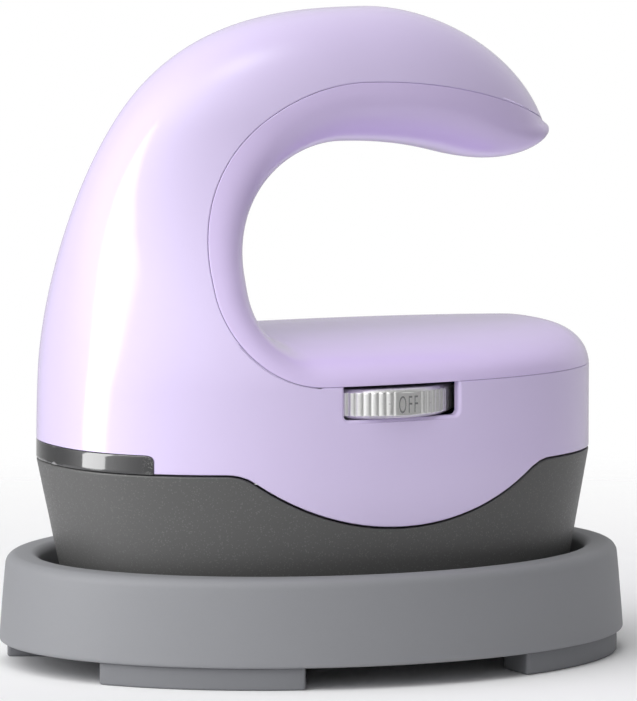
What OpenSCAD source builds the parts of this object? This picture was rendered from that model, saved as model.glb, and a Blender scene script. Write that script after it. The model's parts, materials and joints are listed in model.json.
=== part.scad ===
// Mini handheld heat press in its oval safety base.
// +X points to the open end of the handle, -Y to the dial, +Z up.
// The origin lies on the table, under the middle of the base.

/* [Safety base] */
// Length of the base
base_l = 125; // [118:1:134]
// Width of the base
base_w = 101; // [95:1:110]
// Height of the rim above the table
rim_z = 21; // [18:0.5:24]
// Width of the rim, from the wall to its inner edge
rim_w = 7.9; // [6:0.1:8.5]
// How far the wall leans in on its way up
base_draft = 1.3; // [0.5:0.1:3]
// Thickness of the base's floor
base_floor = 2.5; // [2.2:0.1:3]
// Height of the feet
foot_h = 4.3; // [3.5:0.1:5.5]
// Width of a foot
foot_w = 9.7; // [7:0.1:12]
// How far a foot stands in from the wall
foot_inset = 1.2; // [0.8:0.1:3]
// Clear gap between the feet of a long side
foot_gap_side = 46.6; // [30:0.2:56]
// Clear gap between the feet of an end
foot_gap_end = 42.6; // [30:0.2:50]
// Thickness of the insert that lines the floor
insert_t = 2; // [1.5:0.25:3]
// Height of the pads that the plate stands on
pad_h = 1.2; // [0.8:0.1:2.5]
// Distance between the pads along the base
pad_span_x = 60; // [50:1:70]
// Distance between the pads across the base
pad_span_y = 36; // [30:1:44]

/* [Press body] */
// Length of the press body, heel to nose
press_l = 110; // [106:0.5:112]
// Width of the press body
press_w = 76; // [74:0.5:79]
// How far the press stands towards the nose end of the base
press_x = 0.25; // [-1:0.05:1.5]
// Squareness of the oval outline, 2 for an ellipse
plan_power = 2.3; // [2.2:0.05:2.6]
// Wall of the mouldings
wall = 2; // [1.6:0.1:2.2]
// Width of the parting grooves
seam = 0.3; // [0.2:0.05:0.5]
// Height of the lower housing, above the underside of the plate
housing_h = 29.5; // [28.5:0.25:31]
// How far the lower housing clears the underside of the plate
housing_lift = 4; // [3:0.25:5]
// Lean of the lower housing at the heel, in mm per mm
heel_lean = 0.225; // [0.15:0.005:0.24]
// Lean of the lower housing at the nose, in mm per mm
nose_lean = 0.2; // [0.1:0.005:0.21]
// Lean of the lower housing at the sides, in mm per mm
side_lean = 0.06; // [0.02:0.01:0.08]
// Height of the skirt, from the lower housing up to the deck
skirt_h = 16.5; // [16:0.25:18]
// Depth of the swoosh below the parting line
swoosh_drop = 11; // [8:0.5:12.5]
// Radius of the swoosh
swoosh_r = 51; // [45:1:60]
// Rounding of the shoulders of the swoosh
swoosh_fillet = 8.5; // [4:0.5:10]
// Height of the indicator window
window_h = 3.7; // [3.2:0.1:4]
// How far the window reaches forwards from the heel
window_reach = 9.7; // [9:0.1:11]

/* [Handle] */
// Height of the handle's crown above the deck
crown_h = 69.3; // [66:0.1:73]
// How far the crown lies from the heel
crown_reach = 66.5; // [64:0.5:69]
// How far the handle's tip stays behind the nose
tip_setback = 5.7; // [4:0.1:9]
// Width of the grip
grip_w = 38; // [34:0.5:42]
// Drop from the crown to the top of the handle seam
seam_drop = 13.3; // [12:0.1:15]
// How far the middle of the gap lies from the heel
gap_reach = 57.6; // [55:0.1:60]
// Radius of the handle seam above the gap
seam_r = 108; // [100:1:120]
// Radius of the seam at the back of the gap
back_r = 36; // [33:0.5:37]
// Radius of the seam where the back meets the deck
corner_r = 17.9; // [15:0.1:20]
// How far the grip bulges below its seam
grip_bulge = 12.5; // [10:0.1:14]
// How far the deck bulges above its seam
deck_bulge = 8.6; // [7:0.1:10]
// How far the lining rounds out past the shell at the tip
tip_bulge = 1.4; // [0:0.1:2]

/* [Dial] */
// Radius of the dial
dial_r = 17; // [16:0.25:17.5]
// How far the dial stands out of the skirt
dial_proud = 1.8; // [1.2:0.1:2.2]
// Height of the dial
dial_h = 5.6; // [5:0.1:5.8]
// Width of the dial's slot
slot_w = 24.8; // [24:0.1:25.4]
// How far the slot's middle lies from the dial's, towards the nose
slot_shift = 0.6; // [0:0.1:1]
// Free height above and below the dial
dial_play = 0.4; // [0.3:0.05:0.6]
// Angle from one setting to the next
dial_step = 45; // [40:1:45]
// Angle of the off facet from the front, towards the nose
dial_start = 5.5; // [0:0.5:10]
// Radius of the switch rotor
rotor_r = 3; // [2.5:0.1:3.5]
// Running clearance of the rotor
rotor_fit = 0.05; // [0.02:0.01:0.08]

/* [Heating plate] */
// Thickness of the plate
plate_t = 6; // [5.5:0.25:7]
// Gap between the plate and the housing round it
plate_gap = 0.5; // [0.3:0.1:1]
// Radius of the heating tube
tube_r = 3; // [2.6:0.1:3.3]
// Radius of the bend of the heating tube
bend_r = 16; // [14:0.5:17]
// How deep the heating tube lies in the plate
tube_sink = 1.2; // [0.8:0.1:1.5]
// Straight length of the heating tube
tube_l = 44; // [38:1:46]
// Thickness of the insulation
insulation_t = 4; // [3:0.25:5]
// Thickness of the heat shield
shield_t = 0.8; // [0.6:0.1:1.2]
// Radius of the temperature sensor and of the thermal fuse
sensor_r = 2; // [1.6:0.1:2.1]

/* [Electronics] */
// How far the control board reaches past its screws along the press
board_reach_x = 7.4; // [6:0.1:8]
// How far the control board reaches past its screws across the press
board_reach_y = 3.3; // [3:0.1:3.5]
// Thickness of the boards
board_t = 1.6; // [1:0.1:1.6]
// Distance between the board's screws along the press
boss_span_x = 64; // [62:0.5:65]
// Distance between the board's screws across the press
boss_span_y = 44; // [43:0.5:44.5]
// Radius of the screw bosses
boss_r = 3.5; // [3:0.1:3.6]
// Radius of the screws
screw_r = 1.5; // [1.2:0.1:1.6]
// Radius of the indicator lamps
lamp_r = 1.4; // [1:0.1:1.5]
// Length of the indicator lamps
lamp_l = 2.6; // [2:0.1:3]
// Distance from one lamp to the next
lamp_pitch = 6; // [4:0.5:7]
// Size of the transformer's core
core = [20, 15, 16]; // [10:0.5:20]
// Size of the transformer's winding
winding = [11, 24, 11]; // [8:0.5:24]
// How far the transformer stays inside the board's heel edge
core_margin = 2.3; // [2:0.1:3]
// How far the heat sink stays inside the board's nose edge
sink_margin = 13.4; // [13:0.1:14]
// Size of the relay
relay_size = [15, 19, 13]; // [10:0.5:20]
// Radius of the capacitor
capacitor_r = 4.5; // [3:0.1:4.6]
// Height of the capacitor
capacitor_h = 12; // [8:0.5:13]
// Size of the heat sink
sink = [9, 13, 12]; // [8:0.5:14]
// Size of the triac
triac_size = [2.6, 8, 8]; // [2:0.1:9]
// Size of the terminal block
terminal = [18, 10, 9]; // [8:0.5:20]
// Distance across the press from its middle to the parts beside the cord
bay_y = 12; // [11:0.5:13]

/* [Cord gland] */
// Radius of the bore for the power cord
cord_r = 3.5; // [2.5:0.1:3.6]
// Radius of the gland where it passes the shell
gland_r = 4.9; // [4.6:0.1:5.1]
// Length of the gland outside the shell
gland_l = 9; // [6:0.5:11]

/* [Hidden] */
SIDES = [-1, 1];
CORNERS = [[-1, -1], [1, -1], [1, 1], [-1, 1]];

$fn = 48;
ring_points = 56;
hair = 0.01;

// Heights, from the table up
floor_z = foot_h + base_floor;
insert_z = floor_z + insert_t;
plate_z = insert_z + pad_h;
plate_top = plate_z + plate_t;
housing_z = plate_z + housing_lift;
seam_z = plate_z + housing_h;
deck_z = seam_z + skirt_h;
top_z = deck_z + crown_h;

// The press outline, from the heel forwards
heel_x = press_x - press_l / 2;
nose_x = press_x + press_l / 2;
crown_x = heel_x + crown_reach;
tip_x = nose_x - tip_setback;
back_power = 2.72;
back_z = seam_z - 2.2;
tip_power = 1.78;
tip_drop = 29.3;
tip_z = top_z - tip_drop;
swell_power = 0.9;
swell_h = 49;
crown_power = 2.2;
crown_round = 21.3;
crown_round_z = top_z - crown_round;

// The stack between the plate and the board
tube_z = plate_top + tube_r - tube_sink;
insulation_z = tube_z + tube_r + seam;
shield_z = insulation_z + insulation_t;
boss_z = shield_z + shield_t;
screw_head = 1.5;
screw_seat_z = plate_top + screw_head + 0.5;
slot_z = deck_z - dial_h - 2 * dial_play;
switch_h = 4;
board_top = slot_z - switch_h;
board_z = board_top - board_t;
dial_z = slot_z + dial_play;
dial_y = -press_w / 2 - dial_proud + dial_r;

function clamp01(t) = min(max(t, 0), 1);
function ease(t) = let (u = clamp01(t)) u * u * (3 - 2 * u);
function spow(v, p) = sign(v) * pow(abs(v), p);

// The press body's section at height z: its back, its front and its half width
function back_x(z) = crown_x - (crown_x - heel_x)
    * pow(1 - pow(clamp01((z - back_z) / (top_z - back_z)), back_power), 1 / back_power);
function front_x(z) = z > tip_z
    ? crown_x + (tip_x - crown_x)
        * pow(1 - pow(clamp01((z - tip_z) / (top_z - tip_z)), tip_power), 1 / tip_power)
    : nose_x + (tip_x - nose_x) * clamp01((z - deck_z) / (tip_z - deck_z));
function half_w(z) =
    (press_w / 2 + (grip_w - press_w) / 2 * pow(ease((z - deck_z) / swell_h), swell_power))
    * pow(1 - pow(clamp01((z - crown_round_z) / (top_z - crown_round_z)), crown_power),
          1 / crown_power);
function section(z) = z >= seam_z
    ? [back_x(z), front_x(z), half_w(z)]
    : [heel_x + heel_lean * (seam_z - z), nose_x - nose_lean * (seam_z - z),
       press_w / 2 - side_lean * (seam_z - z)];

// Half width of the body at a place on its side
function side_y(x, z) = let (s = section(z),
        r = abs(x - (s[0] + s[1]) / 2) / ((s[1] - s[0]) / 2))
    s[2] * pow(max(1 - pow(r, plan_power), 0), 1 / plan_power);

// One ring of the body, drawn in by inset, and placed at height at
function body_ring(z, inset = 0, at = undef) = let (
        s = section(z),
        a = max((s[1] - s[0]) / 2 - inset, hair),
        b = max(s[2] - inset, hair))
    [for (i = [0:ring_points - 1]) let (t = 360 * i / ring_points)
        [(s[0] + s[1]) / 2 + a * spow(cos(t), 2 / plan_power),
         b * spow(sin(t), 2 / plan_power),
         is_undef(at) ? z : at]];
function body_outline(z, inset) = [for (p = body_ring(z, inset)) [p[0], p[1]]];

// An oval ring of the base
function base_ring(inset, z) = [for (i = [0:ring_points - 1]) let (t = 360 * i / ring_points)
    [(base_l / 2 - inset) * cos(t), (base_w / 2 - inset) * sin(t), z]];

// Two triangles for each four-sided patch between neighbouring rings
function patch_faces(rings, n) = [
    for (k = [0:rings - 2]) for (i = [0:n - 1])
        let (a = k * n + i, b = k * n + (i + 1) % n)
        each [[a, a + n, b + n], [a, b + n, b]]
];

// A closed solid through rings of equally many points, from the bottom up
module loft(rings) {
    n = len(rings[0]);
    last = len(rings) - 1;
    polyhedron(
        points = [for (r = rings) each r],
        faces = concat(
            patch_faces(len(rings), n),
            [[for (i = [0:n - 1]) i]],
            [[for (i = [n - 1:-1:0]) last * n + i]]),
        convexity = 8);
}

// The handle seam in side view: deck line, corner, back and grip
gap_x = heel_x + gap_reach;
seam_top = top_z - seam_drop;
back_round = min(back_r, seam_top - deck_z - corner_r);
corner_x = gap_x - back_round + corner_r;
function grip_seam_z(x) = seam_top - seam_r + sqrt(seam_r * seam_r - pow(x - gap_x, 2));
function seam_end(x, n) = n == 0 ? x : seam_end(front_x(grip_seam_z(x)), n - 1);
end_x = seam_end(tip_x, 8);
tip_round = 18;
tip_reach_down = 2.5;
nose_round = 12;

// Stations along the seam: place, the way the liner bulges, and how far
deck_steps = 18;
corner_steps = 8;
back_steps = 12;
grip_steps = 16;
function round_off(u, p) = pow(1 - pow(clamp01(u), p), 1 / p);
deck_stations = [for (k = [0:deck_steps - 1]) let (
        x = corner_x + (nose_x - corner_x) * sin(90 * (1 - k / deck_steps)),
        u = (x - nose_x + nose_round) / nose_round)
    [[x, deck_z], [0, 1], deck_bulge * round_off(u, 2)]];
corner_stations = [for (k = [0:corner_steps - 1]) let (a = 270 - 90 * k / corner_steps)
    [[corner_x + corner_r * cos(a), deck_z + corner_r + corner_r * sin(a)],
     [-cos(a), -sin(a)],
     deck_bulge + (grip_bulge - deck_bulge) * ease(k / corner_steps)]];
back_stations = [for (k = [0:back_steps - 1]) let (a = 180 - 90 * k / back_steps)
    [[gap_x + back_round * cos(a), seam_top - back_round + back_round * sin(a)],
     [-cos(a), -sin(a)], grip_bulge]];
grip_stations = [for (k = [0:grip_steps]) let (
        x = gap_x + (end_x - gap_x) * sin(90 * k / grip_steps),
        z = grip_seam_z(x),
        u = (x - end_x + tip_round) / tip_round)
    [[x, z], [(gap_x - x) / seam_r, (seam_top - seam_r - z) / seam_r],
     grip_bulge * round_off(u, 2.2)]];
stations = concat(deck_stations, corner_stations, back_stations, grip_stations);

// One section of the liner: over its outside, then back along its inside
arch_steps = 8;
liner_power = 2.3;
function rounding(x, z) = let (drop = max(grip_seam_z(end_x) - z, 0) / tip_reach_down)
    x < gap_x ? 0 : tip_bulge * ease((x - end_x) / tip_round + 1) * drop * exp(1 - drop);
function arch(s, inset, sink) = let (
        w = max(side_y(s[0][0], s[0][1]) - inset, sink / 2),
        d = max(s[2] - inset, sink / 2))
    [for (j = [-arch_steps:arch_steps]) let (t = 90 * j / arch_steps,
            up = pow(cos(t), 2 / liner_power) * d + sink,
            x = s[0][0] + s[1][0] * up, z = s[0][1] + s[1][1] * up)
        [x + (s[0][1] > tip_z ? rounding(x, z) : 0), w * spow(sin(t), 2 / liner_power), z]];
function liner_loop(s) = let (outside = arch(s, 0, seam), inside = arch(s, wall, seam / 2))
    concat(outside, [for (j = [len(inside) - 1:-1:0]) inside[j]]);

// ---------------------------------------------------------------- safety base

module safety_base() {
    color("darkgray") difference() {
        loft([
            base_ring(0.8, foot_h),
            base_ring(0, foot_h + 0.8),
            base_ring(base_draft * 0.85, rim_z - 2.6),
            base_ring(base_draft + 0.6, rim_z - 0.9),
            base_ring(base_draft + 1.4, rim_z - 0.25),
            base_ring(base_draft + 2.4, rim_z),
            base_ring(rim_w - 0.3, rim_z),
            base_ring(rim_w, rim_z - 0.4),
            base_ring(rim_w + 0.6, floor_z)
        ]);
        pad_places() {
            translate([0, 0, foot_h - hair]) cylinder(r = screw_r * 2 + 0.3, h = screw_head);
            translate([0, 0, foot_h]) cylinder(r = screw_r + 0.3, h = base_floor + hair);
        }
    }
}

module pad_places(which = [0:3])
    for (k = which)
        translate([CORNERS[k][0] * pad_span_x / 2, CORNERS[k][1] * pad_span_y / 2, 0])
            children();

// Heat-proof lining of the floor, with four pads for the plate
module base_insert() {
    insert_inset = rim_w + 0.6 + seam;
    color("dimgray") difference() {
        union() {
            translate([0, 0, floor_z]) linear_extrude(insert_t)
                polygon([for (p = base_ring(insert_inset, 0)) [p[0], p[1]]]);
            pad_places() translate([0, 0, floor_z]) cylinder(r = 5, h = insert_t + pad_h);
        }
        pad_places() translate([0, 0, floor_z - hair])
            cylinder(r = screw_r, h = insert_t + pad_h / 2 + hair);
    }
}

// A foot follows the wall from the gap of the long side to that of the end
module base_foot(k) {
    outer = [base_l / 2 - foot_inset, base_w / 2 - foot_inset];
    inner = [outer[0] - foot_w, outer[1] - foot_w];
    steps = 10;
    function sweep(e, t) = let (
            a0 = asin(foot_gap_end / 2 / e[1]), a1 = acos(foot_gap_side / 2 / e[0]))
        [CORNERS[k][0] * e[0] * cos(a0 + (a1 - a0) * t),
         CORNERS[k][1] * e[1] * sin(a0 + (a1 - a0) * t)];
    color("gray") linear_extrude(foot_h) polygon(concat(
        [for (i = [0:steps]) sweep(outer, i / steps)],
        [for (i = [steps:-1:0]) sweep(inner, i / steps)]));
}

module base_screw(k)
    color("silver") pad_places([k]) {
        translate([0, 0, foot_h]) cylinder(r = screw_r * 2, h = screw_head - hair);
        translate([0, 0, foot_h + screw_head - 2 * hair])
            cylinder(r = screw_r, h = base_floor + insert_t + pad_h / 2 - screw_head);
    }

// ---------------------------------------------------------------- outer mouldings

// The whole dome, closed over the gap; inset moves its surface in
module dome(inset) {
    low = seam_z - swoosh_drop - 1;
    steps = 20;
    grown = (top_z - deck_z) / (top_z - inset - deck_z);
    loft(concat(
        [for (z = [low, seam_z, (seam_z + deck_z) / 2]) body_ring(z, inset)],
        [for (k = [0:steps]) let (z = deck_z + (top_z - deck_z) * sin(90 * k / steps))
            body_ring(z, inset, deck_z + (z - deck_z) / grown)]));
}

// Everything on the gap's side of the handle seam
module gap_prism() {
    far = 2 * press_l;
    reach = 3 * press_w;
    translate([0, reach / 2, 0]) rotate([90, 0, 0]) linear_extrude(reach)
        polygon(concat([[far, deck_z]], [for (s = stations) s[0]],
                       [[end_x, grip_seam_z(end_x)], [far, grip_seam_z(end_x)]]));
}

// The shell's side of the lower parting line, drawn in by gap
module swoosh_side(gap) {
    reach = 3 * press_w;
    wide = 4 * press_l;
    swoosh_x = press_x + 0.4;
    translate([0, reach / 2, 0]) rotate([90, 0, 0]) linear_extrude(reach)
        offset(r = -swoosh_fillet - gap) offset(delta = swoosh_fillet) union() {
            translate([-wide / 2, seam_z]) square([wide, wide]);
            translate([swoosh_x, seam_z - swoosh_drop + swoosh_r])
                circle(r = swoosh_r, $fn = 120);
        }
}

// The bosses stand round the middle of the housing's mouth, at its underside
mouth = section(housing_z);
boss_x = (mouth[0] + mouth[1]) / 2;
board_l = boss_span_x + 2 * board_reach_x;
board_w = boss_span_y + 2 * board_reach_y;
board_x = boss_x - board_l / 2;
BOSSES = [for (c = CORNERS) [boss_x + c[0] * boss_span_x / 2, c[1] * boss_span_y / 2]];

module at_bosses(which = [0:3])
    for (k = which) translate([BOSSES[k][0], BOSSES[k][1], 0]) children();

// Screw posts that hang under the board, each on a web to the skirt
module shell_posts() {
    web_z = seam_z + 2 * seam;
    for (p = BOSSES) {
        wall_y = sign(p[1]) * (side_y(p[0], seam_z) - wall);
        translate([p[0], p[1], boss_z]) cylinder(r = boss_r, h = board_z - boss_z);
        hull() {
            translate([p[0], p[1], web_z]) cylinder(r = boss_r / 2, h = board_z - web_z);
            translate([p[0], wall_y, web_z]) cylinder(r = wall / 3, h = board_z - web_z);
        }
    }
}

// Hooks under the deck line that the liner snaps over
module shell_hooks()
    for (x = [-0.45, 0.5]) for (side = SIDES) {
        hx = press_x + x * press_l / 2;
        hy = side * (side_y(hx, deck_z) - wall);
        hull() {
            translate([hx - 4, hy - side * 0.6, deck_z - 1.5]) sphere(r = 0.9, $fn = 12);
            translate([hx + 4, hy - side * 0.6, deck_z - 1.5]) sphere(r = 0.9, $fn = 12);
        }
    }

// What belongs to the lower housing, and the groove over it
module below_parting() {
    low = seam_z - 2 * swoosh_drop;
    difference() {
        translate([-press_l, -press_w, low]) cube([2 * press_l, 2 * press_w, deck_z - low - 1]);
        swoosh_side(seam);
    }
}

module outer_shell() {
    notch = window_reach + seam;
    color("thistle") difference() {
        union() {
            difference() {
                dome(0);
                dome(wall);
                below_parting();
            }
            shell_posts();
            shell_hooks();
        }
        gap_prism();
        translate([heel_x - 1, -press_w, 0])
            cube([notch + 1, 2 * press_w, seam_z + window_h + seam]);
        translate([0, -press_w / 2 + 3 * wall, 0]) rotate([90, 0, 0])
            linear_extrude(6 * wall) dial_slot();
        translate([gland_x, press_w / 2 - 3 * wall, gland_z]) rotate([-90, 0, 0])
            cylinder(r = gland_r + 0.1, h = 6 * wall);
        at_bosses() translate([0, 0, boss_z - hair]) cylinder(r = screw_r, h = skirt_h * 2);
    }
}

module dial_slot() {
    corner = 1.6;
    translate([slot_shift - slot_w / 2, slot_z]) hull() {
        translate([corner, corner]) circle(corner);
        translate([slot_w - corner, corner]) circle(corner);
        translate([0, deck_z - slot_z]) square([slot_w, 1]);
    }
}

// Lining of the finger gap in one piece: deck, back and underside of the grip
module grip_liner() {
    n = 4 * arch_steps + 2;
    m = n / 2;
    last = len(stations) - 1;
    color("plum") polyhedron(
        points = [for (s = stations) each liner_loop(s)],
        faces = concat(
            patch_faces(last + 1, n),
            [for (i = [0:m - 2]) each
                [[n - 2 - i, n - 1 - i, i], [i + 1, n - 2 - i, i]]],
            [for (i = [0:m - 2]) let (o = last * n) each
                [[o + n - 1 - i, o + n - 2 - i, o + i], [o + n - 2 - i, o + i + 1, o + i]]]),
        convexity = 10);
}

module lower_housing() {
    color("dimgray") {
        difference() {
            loft([for (z = [housing_z, seam_z]) body_ring(z, 0)]);
            loft([for (z = [housing_z - 1, seam_z + 1]) body_ring(z, wall)]);
            swoosh_side(0);
        }
        difference() {
            for (p = BOSSES) {
                wall_y = side_y(p[0], screw_seat_z) - wall / 2;
                web_y = min(p[1], sign(p[1]) * wall_y);
                translate([p[0], p[1], screw_seat_z]) cylinder(r = boss_r, h = shield_z - screw_seat_z);
                translate([p[0] - wall / 2, web_y, screw_seat_z])
                    cube([wall, wall_y - abs(p[1]), shield_z - screw_seat_z]);
            }
            at_bosses() translate([0, 0, plate_top]) cylinder(r = screw_r + 0.2, h = press_w);
        }
    }
}

// Smoked strip round the heel, over the lamps
module indicator_window() {
    color("black") intersection() {
        translate([0, 0, seam_z]) linear_extrude(window_h) difference() {
            polygon(body_outline(seam_z, 0));
            polygon(body_outline(seam_z, wall));
        }
        translate([heel_x - 1, -press_w, seam_z]) cube([window_reach + 1, 2 * press_w, 2 * window_h]);
    }
}

module light_guide() {
    color("white") intersection() {
        translate([0, 0, seam_z + seam]) linear_extrude(window_h - 2 * seam)
            polygon(body_outline(seam_z, wall + seam));
        translate([heel_x, -press_w, seam_z]) cube([guide_x - heel_x, 2 * press_w, 2 * window_h]);
    }
}

// ---------------------------------------------------------------- dial and switch

settings = 4;
facet_angle = 17.5;
rib_angle = 5;
rib_depth = 0.4;
rib_step = rib_angle / 4;

// Radius of the rim: a groove each rib_angle, and a smooth facet at each setting
function dial_rim(k) = let (
        a = (k + 0.5) * rib_step,
        from_facet = min([for (s = [0:settings]) abs(a - s % settings * dial_step
            - (s == settings ? 360 : 0))]))
    from_facet <= facet_angle / 2 ? dial_r - rib_depth / 2
        : k % 4 == 0 ? dial_r - rib_depth : dial_r;

module dial_wheel() {
    bowl_r = dial_r - 4;
    color("silver") translate([0, dial_y, dial_z]) rotate(dial_start - 90) difference() {
        linear_extrude(dial_h)
            polygon([for (k = [0:360 / rib_step - 1]) for (end = [0.1, 0.9])
                let (a = (k + end) * rib_step) dial_rim(k) * [cos(a), sin(a)]]);
        for (z = [-hair, dial_h - 2 + hair]) translate([0, 0, z]) difference() {
            cylinder(r = bowl_r, h = 2);
            translate([0, 0, -hair]) cylinder(r = rotor_r + 2.5, h = 3);
        }
        translate([0, 0, -1]) cylinder(r = rotor_r, h = dial_h + 2);
    }
}

module switch_rotor()
    color("white") translate([0, dial_y, board_top + 1]) rotate(dial_start - 90)
        cylinder(r = rotor_r, h = dial_z + dial_h - board_top - 1);

module rotary_switch() {
    side = 4 * rotor_r + 4;
    color("midnightblue") difference() {
        translate([-side / 2, dial_y - side / 2, board_top]) cube([side, side, switch_h - hair]);
        translate([0, dial_y, board_top + 1 - dial_play / 2]) cylinder(r = rotor_r + rotor_fit, h = switch_h);
    }
}

// Leaf beside the dial, its nose just clear of the rim
module detent_spring() {
    leaf = 0.5;
    gap = 0.4;
    y = dial_y + dial_r + gap;
    color("gold") translate([0, y, board_top]) rotate([90, 0, 90]) translate([0, 0, -4])
        linear_extrude(8) polygon([
            [1, 0], [4, 0], [4, leaf], [1 + leaf, leaf], [1 + leaf, dial_z - board_top + 2],
            [leaf, dial_z - board_top + 2.8], [1 + leaf, dial_z - board_top + 3.6],
            [1 + leaf, dial_z - board_top + dial_h], [1, dial_z - board_top + dial_h],
            [1, dial_z - board_top + 3.8], [0, dial_z - board_top + 2.8],
            [1, dial_z - board_top + 1.8]]);
}

// ---------------------------------------------------------------- electronics

module control_board() {
    color("darkgreen") difference() {
        translate([board_x, -board_w / 2, board_z]) cube([board_l, board_w, board_t]);
        at_bosses() translate([0, 0, board_z - 1]) cylinder(r = screw_r + 0.2, h = board_t + 2);
    }
}

lamp_z = seam_z + window_h / 2;
lamp_x = board_x - board_t;
guide_x = lamp_x - lamp_l - seam;

module lamp_board() {
    low = lamp_z - lamp_r - 1;
    color("darkgreen") translate([lamp_x, -1.7 * lamp_pitch, low])
        cube([board_t, 3.4 * lamp_pitch, board_top - low]);
}

module lamp(k)
    color(["red", "orange", "lime"][k - 1]) translate([lamp_x, lamp_pitch * (k - 2), lamp_z])
        rotate([0, -90, 0]) cylinder(r = lamp_r, h = lamp_l);

core_x = board_x + core_margin;

module transformer()
    color("dimgray") translate([core_x, 0, board_top]) {
        translate([0, -core[1] / 2, 0]) cube(core);
        translate([(core[0] - winding[0]) / 2, -winding[1] / 2, (core[2] - winding[2]) / 2])
            cube(winding);
    }

sink_x = board_x + board_l - sink_margin - sink[0];
sink_y = bay_y - 2;

module relay()
    color("royalblue") translate([sink_x + 2, sink_y - 3 - relay_size[1], board_top])
        cube(relay_size);

module capacitor()
    color("black") translate([core_x + core[0], bay_y + capacitor_r + 1.5, board_top]) {
        cylinder(r = capacitor_r - 0.3, h = capacitor_h);
        cylinder(r = capacitor_r, h = capacitor_r / 3);
    }

module heat_sink() {
    plate = 2;
    fin = 1.2;
    fins = 4;
    color("silver") translate([sink_x, sink_y, board_top]) {
        cube([plate, sink[1], sink[2]]);
        for (k = [0:fins - 1])
            translate([plate / 2, k * (sink[1] - fin) / (fins - 1), 0])
                cube([sink[0] - plate / 2, fin, sink[2]]);
    }
}

module triac() {
    leg = [0.7, 0.8, 2.4];
    color("black") translate([sink_x - triac_size[0], sink_y + 2.5, board_top]) {
        translate([0, 0, leg[2]]) cube(triac_size);
        for (k = [0:2])
            translate([(triac_size[0] - leg[0]) / 2, (k + 0.6) * triac_size[1] / 3.5, 0])
                cube([leg[0], leg[1], leg[2] + hair]);
    }
}

module terminal_block() {
    poles = 3;
    pitch = terminal[0] / poles;
    color("seagreen") translate([gland_x - terminal[0] / 2, bay_y, board_top]) difference() {
        cube(terminal);
        for (k = [0:poles - 1]) translate([(k + 0.5) * pitch, 0, 0]) {
            translate([0, terminal[1] / 2, terminal[2] / 2]) cylinder(r = 1.6, h = terminal[2]);
            translate([0, terminal[1] / 2 + 1, terminal[2] / 4]) rotate([-90, 0, 0])
                cylinder(r = 1.3, h = terminal[1]);
        }
    }
}

gland_x = 0;
gland_z = seam_z + skirt_h / 2;

// Snap-in bushing with a tapered boot; its bore takes the cord
module cord_gland() {
    flange = 1.6;
    face = 0.3;
    inside = wall + 0.5;
    color("black") translate([gland_x, press_w / 2 + face, gland_z]) rotate([-90, 0, 0])
        rotate_extrude() polygon([
            [cord_r, -inside - face - flange], [gland_r + 1, -inside - face - flange],
            [gland_r + 1, -inside - face], [gland_r, -inside - face], [gland_r, 0],
            [gland_r + 1.6, 0], [gland_r + 1.6, flange], [gland_r + 0.4, flange + 0.6],
            [cord_r + 1.1, gland_l], [cord_r, gland_l]]);
}

// ---------------------------------------------------------------- heating plate

tube_x = press_x - tube_l / 2 + 6;
pin_r = 1.5;
pin_l = 5;
lead_r = 0.9;
bend = 3;
plate_boss_x = bend_r + tube_r + 0.6 + boss_r;
PLATE_BOSSES = [
    [tube_x - plate_boss_x, 0], [press_x + 4, -(bend_r + tube_r + 1 + boss_r)],
    [tube_x + tube_l + 2, 0], [press_x + 4, bend_r + tube_r + 1 + boss_r]
];
SENSORS = [[press_x, 7, 8], [press_x, -7, 11]];

module tube_path(r) {
    translate([tube_x, 0, tube_z]) rotate(90) rotate_extrude(angle = 180)
        translate([bend_r, 0]) circle(r);
    for (side = SIDES) translate([tube_x, side * bend_r, tube_z]) rotate([0, 90, 0])
        cylinder(r = r, h = tube_l);
}

module heating_plate() {
    edge = wall + plate_gap;
    color("lightgray") difference() {
        union() {
            loft([
                body_ring(housing_z, edge + 1.2, plate_z),
                body_ring(housing_z, edge, plate_z + 1.2),
                body_ring(housing_z, edge, plate_top)
            ]);
            for (p = PLATE_BOSSES)
                translate([p[0], p[1], plate_top - 1]) cylinder(r = boss_r, h = shield_z - plate_top + 1);
        }
        tube_path(tube_r + 0.1);
        for (p = PLATE_BOSSES)
            translate([p[0], p[1], plate_top]) cylinder(r = screw_r, h = shield_z);
    }
}

module heating_tube() {
    color("slategray") {
        tube_path(tube_r);
        for (side = SIDES) translate([tube_x + tube_l, side * bend_r, tube_z]) rotate([0, 90, 0])
            cylinder(r = pin_r, h = pin_l);
    }
}

function sensor_z() = plate_top + sensor_r + 0.05;

module sensor(p, tint)
    color(tint) translate([p[0] - p[2] / 2, p[1], sensor_z()]) rotate([0, 90, 0])
        cylinder(r = sensor_r, h = p[2]);

module temperature_sensor() sensor(SENSORS[0], "wheat");

module thermal_fuse() sensor(SENSORS[1], "silver");

// A strap over the sensor with a foot on each side
module clip(p) {
    strap = 0.5;
    play = 0.1;
    ear = 3;
    r = sensor_r + play;
    color("goldenrod") translate([p[0] - 2, p[1], plate_top]) difference() {
        union() {
            translate([0, 0, sensor_r]) rotate([0, 90, 0]) cylinder(r = r + strap, h = 4);
            translate([0, -r - strap, 0]) cube([4, 2 * (r + strap), sensor_r]);
            translate([0, -r - ear, 0]) cube([4, 2 * (r + ear), strap]);
        }
        translate([-1, 0, sensor_r]) rotate([0, 90, 0]) cylinder(r = r, h = 6);
        translate([-1, -r, -1]) cube([6, 2 * r, sensor_r + 1]);
    }
}

module sensor_clip() clip(SENSORS[0]);

module fuse_clip() clip(SENSORS[1]);

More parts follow.
